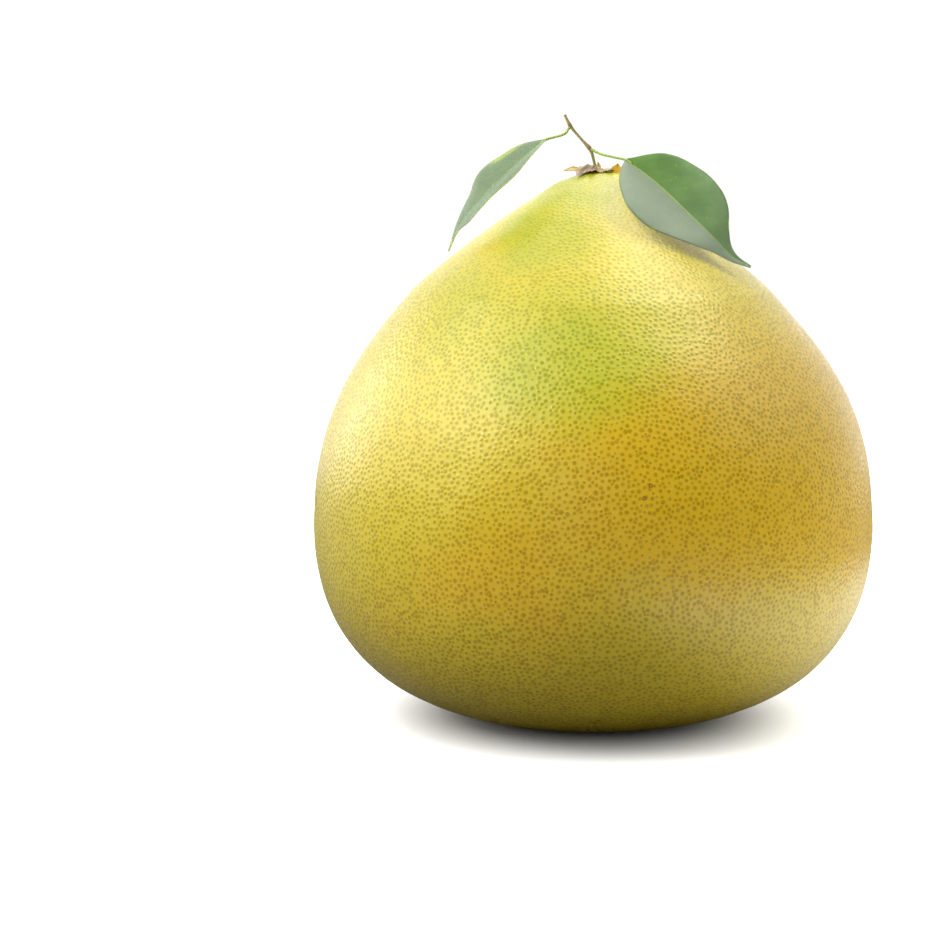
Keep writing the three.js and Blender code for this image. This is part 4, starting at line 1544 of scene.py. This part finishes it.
def make_world(settings):
    """A surround that is plain white to look at and lights the fruit softly from behind."""
    world = bpy.data.worlds.new("white studio")
    bpy.context.scene.world = world
    world.use_nodes = True
    tree = world.node_tree
    direction = add_node(tree, "ShaderNodeTexCoord").outputs["Generated"]
    behind = vector_maths(tree, "DOT_PRODUCT", direction, (0, 1, 0), output="Value")
    light = times(tree, reckon(tree, "MAXIMUM", behind, 0.0), settings.surround)
    seen = add_node(tree, "ShaderNodeLightPath").outputs["Is Camera Ray"]
    inputs = {"Factor": seen, "A": light, "B": SURROUND_SEEN}
    sky = tree.nodes["Background"]
    sky.inputs["Color"].default_value = WHITE
    feed(tree, sky, {"Strength": add_node(tree, "ShaderNodeMix", inputs).outputs[0]})


def shone_past(kind):
    """The collection of the pieces that don't block a kind of lamp."""
    name = f"past {kind}"
    return bpy.data.collections.get(name) or bpy.data.collections.new(name)


def shine_past(piece, leaf_name):
    """Lets the lamps that shine past a leaf shine past this piece of it."""
    for kind, leaf_names in SHONE_PAST.items():
        if leaf_name in leaf_names:
            group = shone_past(kind)
            group.objects.link(piece)
            place = list(group.objects).index(piece)
            group.collection_objects[place].light_linking.link_state = "EXCLUDE"


def make_stage(settings):
    make_camera()
    make_world(settings)
    make_floor(settings)
    for name, *place, share, kind in LAMPS:
        lamp = soft_box(name, *place, share * settings.lamp_power)
        lamp.visible_glossy = kind != "soft"
        lamp.visible_diffuse = kind != "shine"
        lamp.light_linking.blocker_collection = shone_past(kind)
    bpy.context.scene.view_settings.view_transform = "Standard"


# ---------------------------------------------------------------- operators


class POMELO_OT_stage(bpy.types.Operator):
    """Set up the studio floor, the soft lights and the camera"""

    bl_idname = "pomelo.stage"
    bl_label = "Studio"

    def execute(self, context):
        make_stage(context.scene.pomelo_stage)
        return {"FINISHED"}


class POMELO_OT_rind(bpy.types.Operator):
    """Make the rind with its oil glands"""

    bl_idname = "pomelo.rind"
    bl_label = "Rind"

    def execute(self, context):
        make_rind(context.scene.pomelo_rind)
        return {"FINISHED"}


class POMELO_OT_calyx(bpy.types.Operator):
    """Make the dried calyx round the foot of the twig"""

    bl_idname = "pomelo.calyx"
    bl_label = "Dried Calyx"

    def execute(self, context):
        make_calyx(context.scene.pomelo_calyx)
        return {"FINISHED"}


class POMELO_OT_twig(bpy.types.Operator):
    """Make the woody twig with its two nodes"""

    bl_idname = "pomelo.twig"
    bl_label = "Twig"

    def execute(self, context):
        make_twig(context.scene.pomelo_twig)
        return {"FINISHED"}


class POMELO_OT_leaves(bpy.types.Operator):
    """Make the two leaves with their stalks"""

    bl_idname = "pomelo.leaves"
    bl_label = "Leaves"

    def execute(self, context):
        make_leaves(context.scene.pomelo_leaf, context.scene.pomelo_twig)
        return {"FINISHED"}


SETTINGS = {
    "pomelo_stage": StageSettings,
    "pomelo_rind": RindSettings,
    "pomelo_calyx": CalyxSettings,
    "pomelo_twig": TwigSettings,
    "pomelo_leaf": LeafSettings,
}
OPERATORS = [POMELO_OT_stage, POMELO_OT_rind, POMELO_OT_calyx, POMELO_OT_twig, POMELO_OT_leaves]


class POMELO_PT_pieces(bpy.types.Panel):
    """The pomelo's pieces and their settings"""

    bl_label = "Pomelo"
    bl_idname = "POMELO_PT_pieces"
    bl_space_type = "VIEW_3D"
    bl_region_type = "UI"
    bl_category = "Pomelo"

    def draw(self, context):
        for operator, name in zip(OPERATORS, SETTINGS):
            box = self.layout.box()
            box.operator(operator.bl_idname)
            settings = getattr(context.scene, name)
            for setting in settings.bl_rna.properties:
                if not setting.is_readonly and setting.identifier != "name":
                    box.prop(settings, setting.identifier)


CLASSES = [*SETTINGS.values(), *OPERATORS, POMELO_PT_pieces]


def register():
    for item in CLASSES:
        bpy.utils.register_class(item)
    for name, group in SETTINGS.items():
        setattr(bpy.types.Scene, name, PointerProperty(type=group))


def unregister():
    for name in SETTINGS:
        delattr(bpy.types.Scene, name)
    for item in reversed(CLASSES):
        bpy.utils.unregister_class(item)


def main():
    register()
    for operator in OPERATORS:
        group, name = operator.bl_idname.split(".")
        getattr(getattr(bpy.ops, group), name)()


if __name__ == "__main__":
    main()
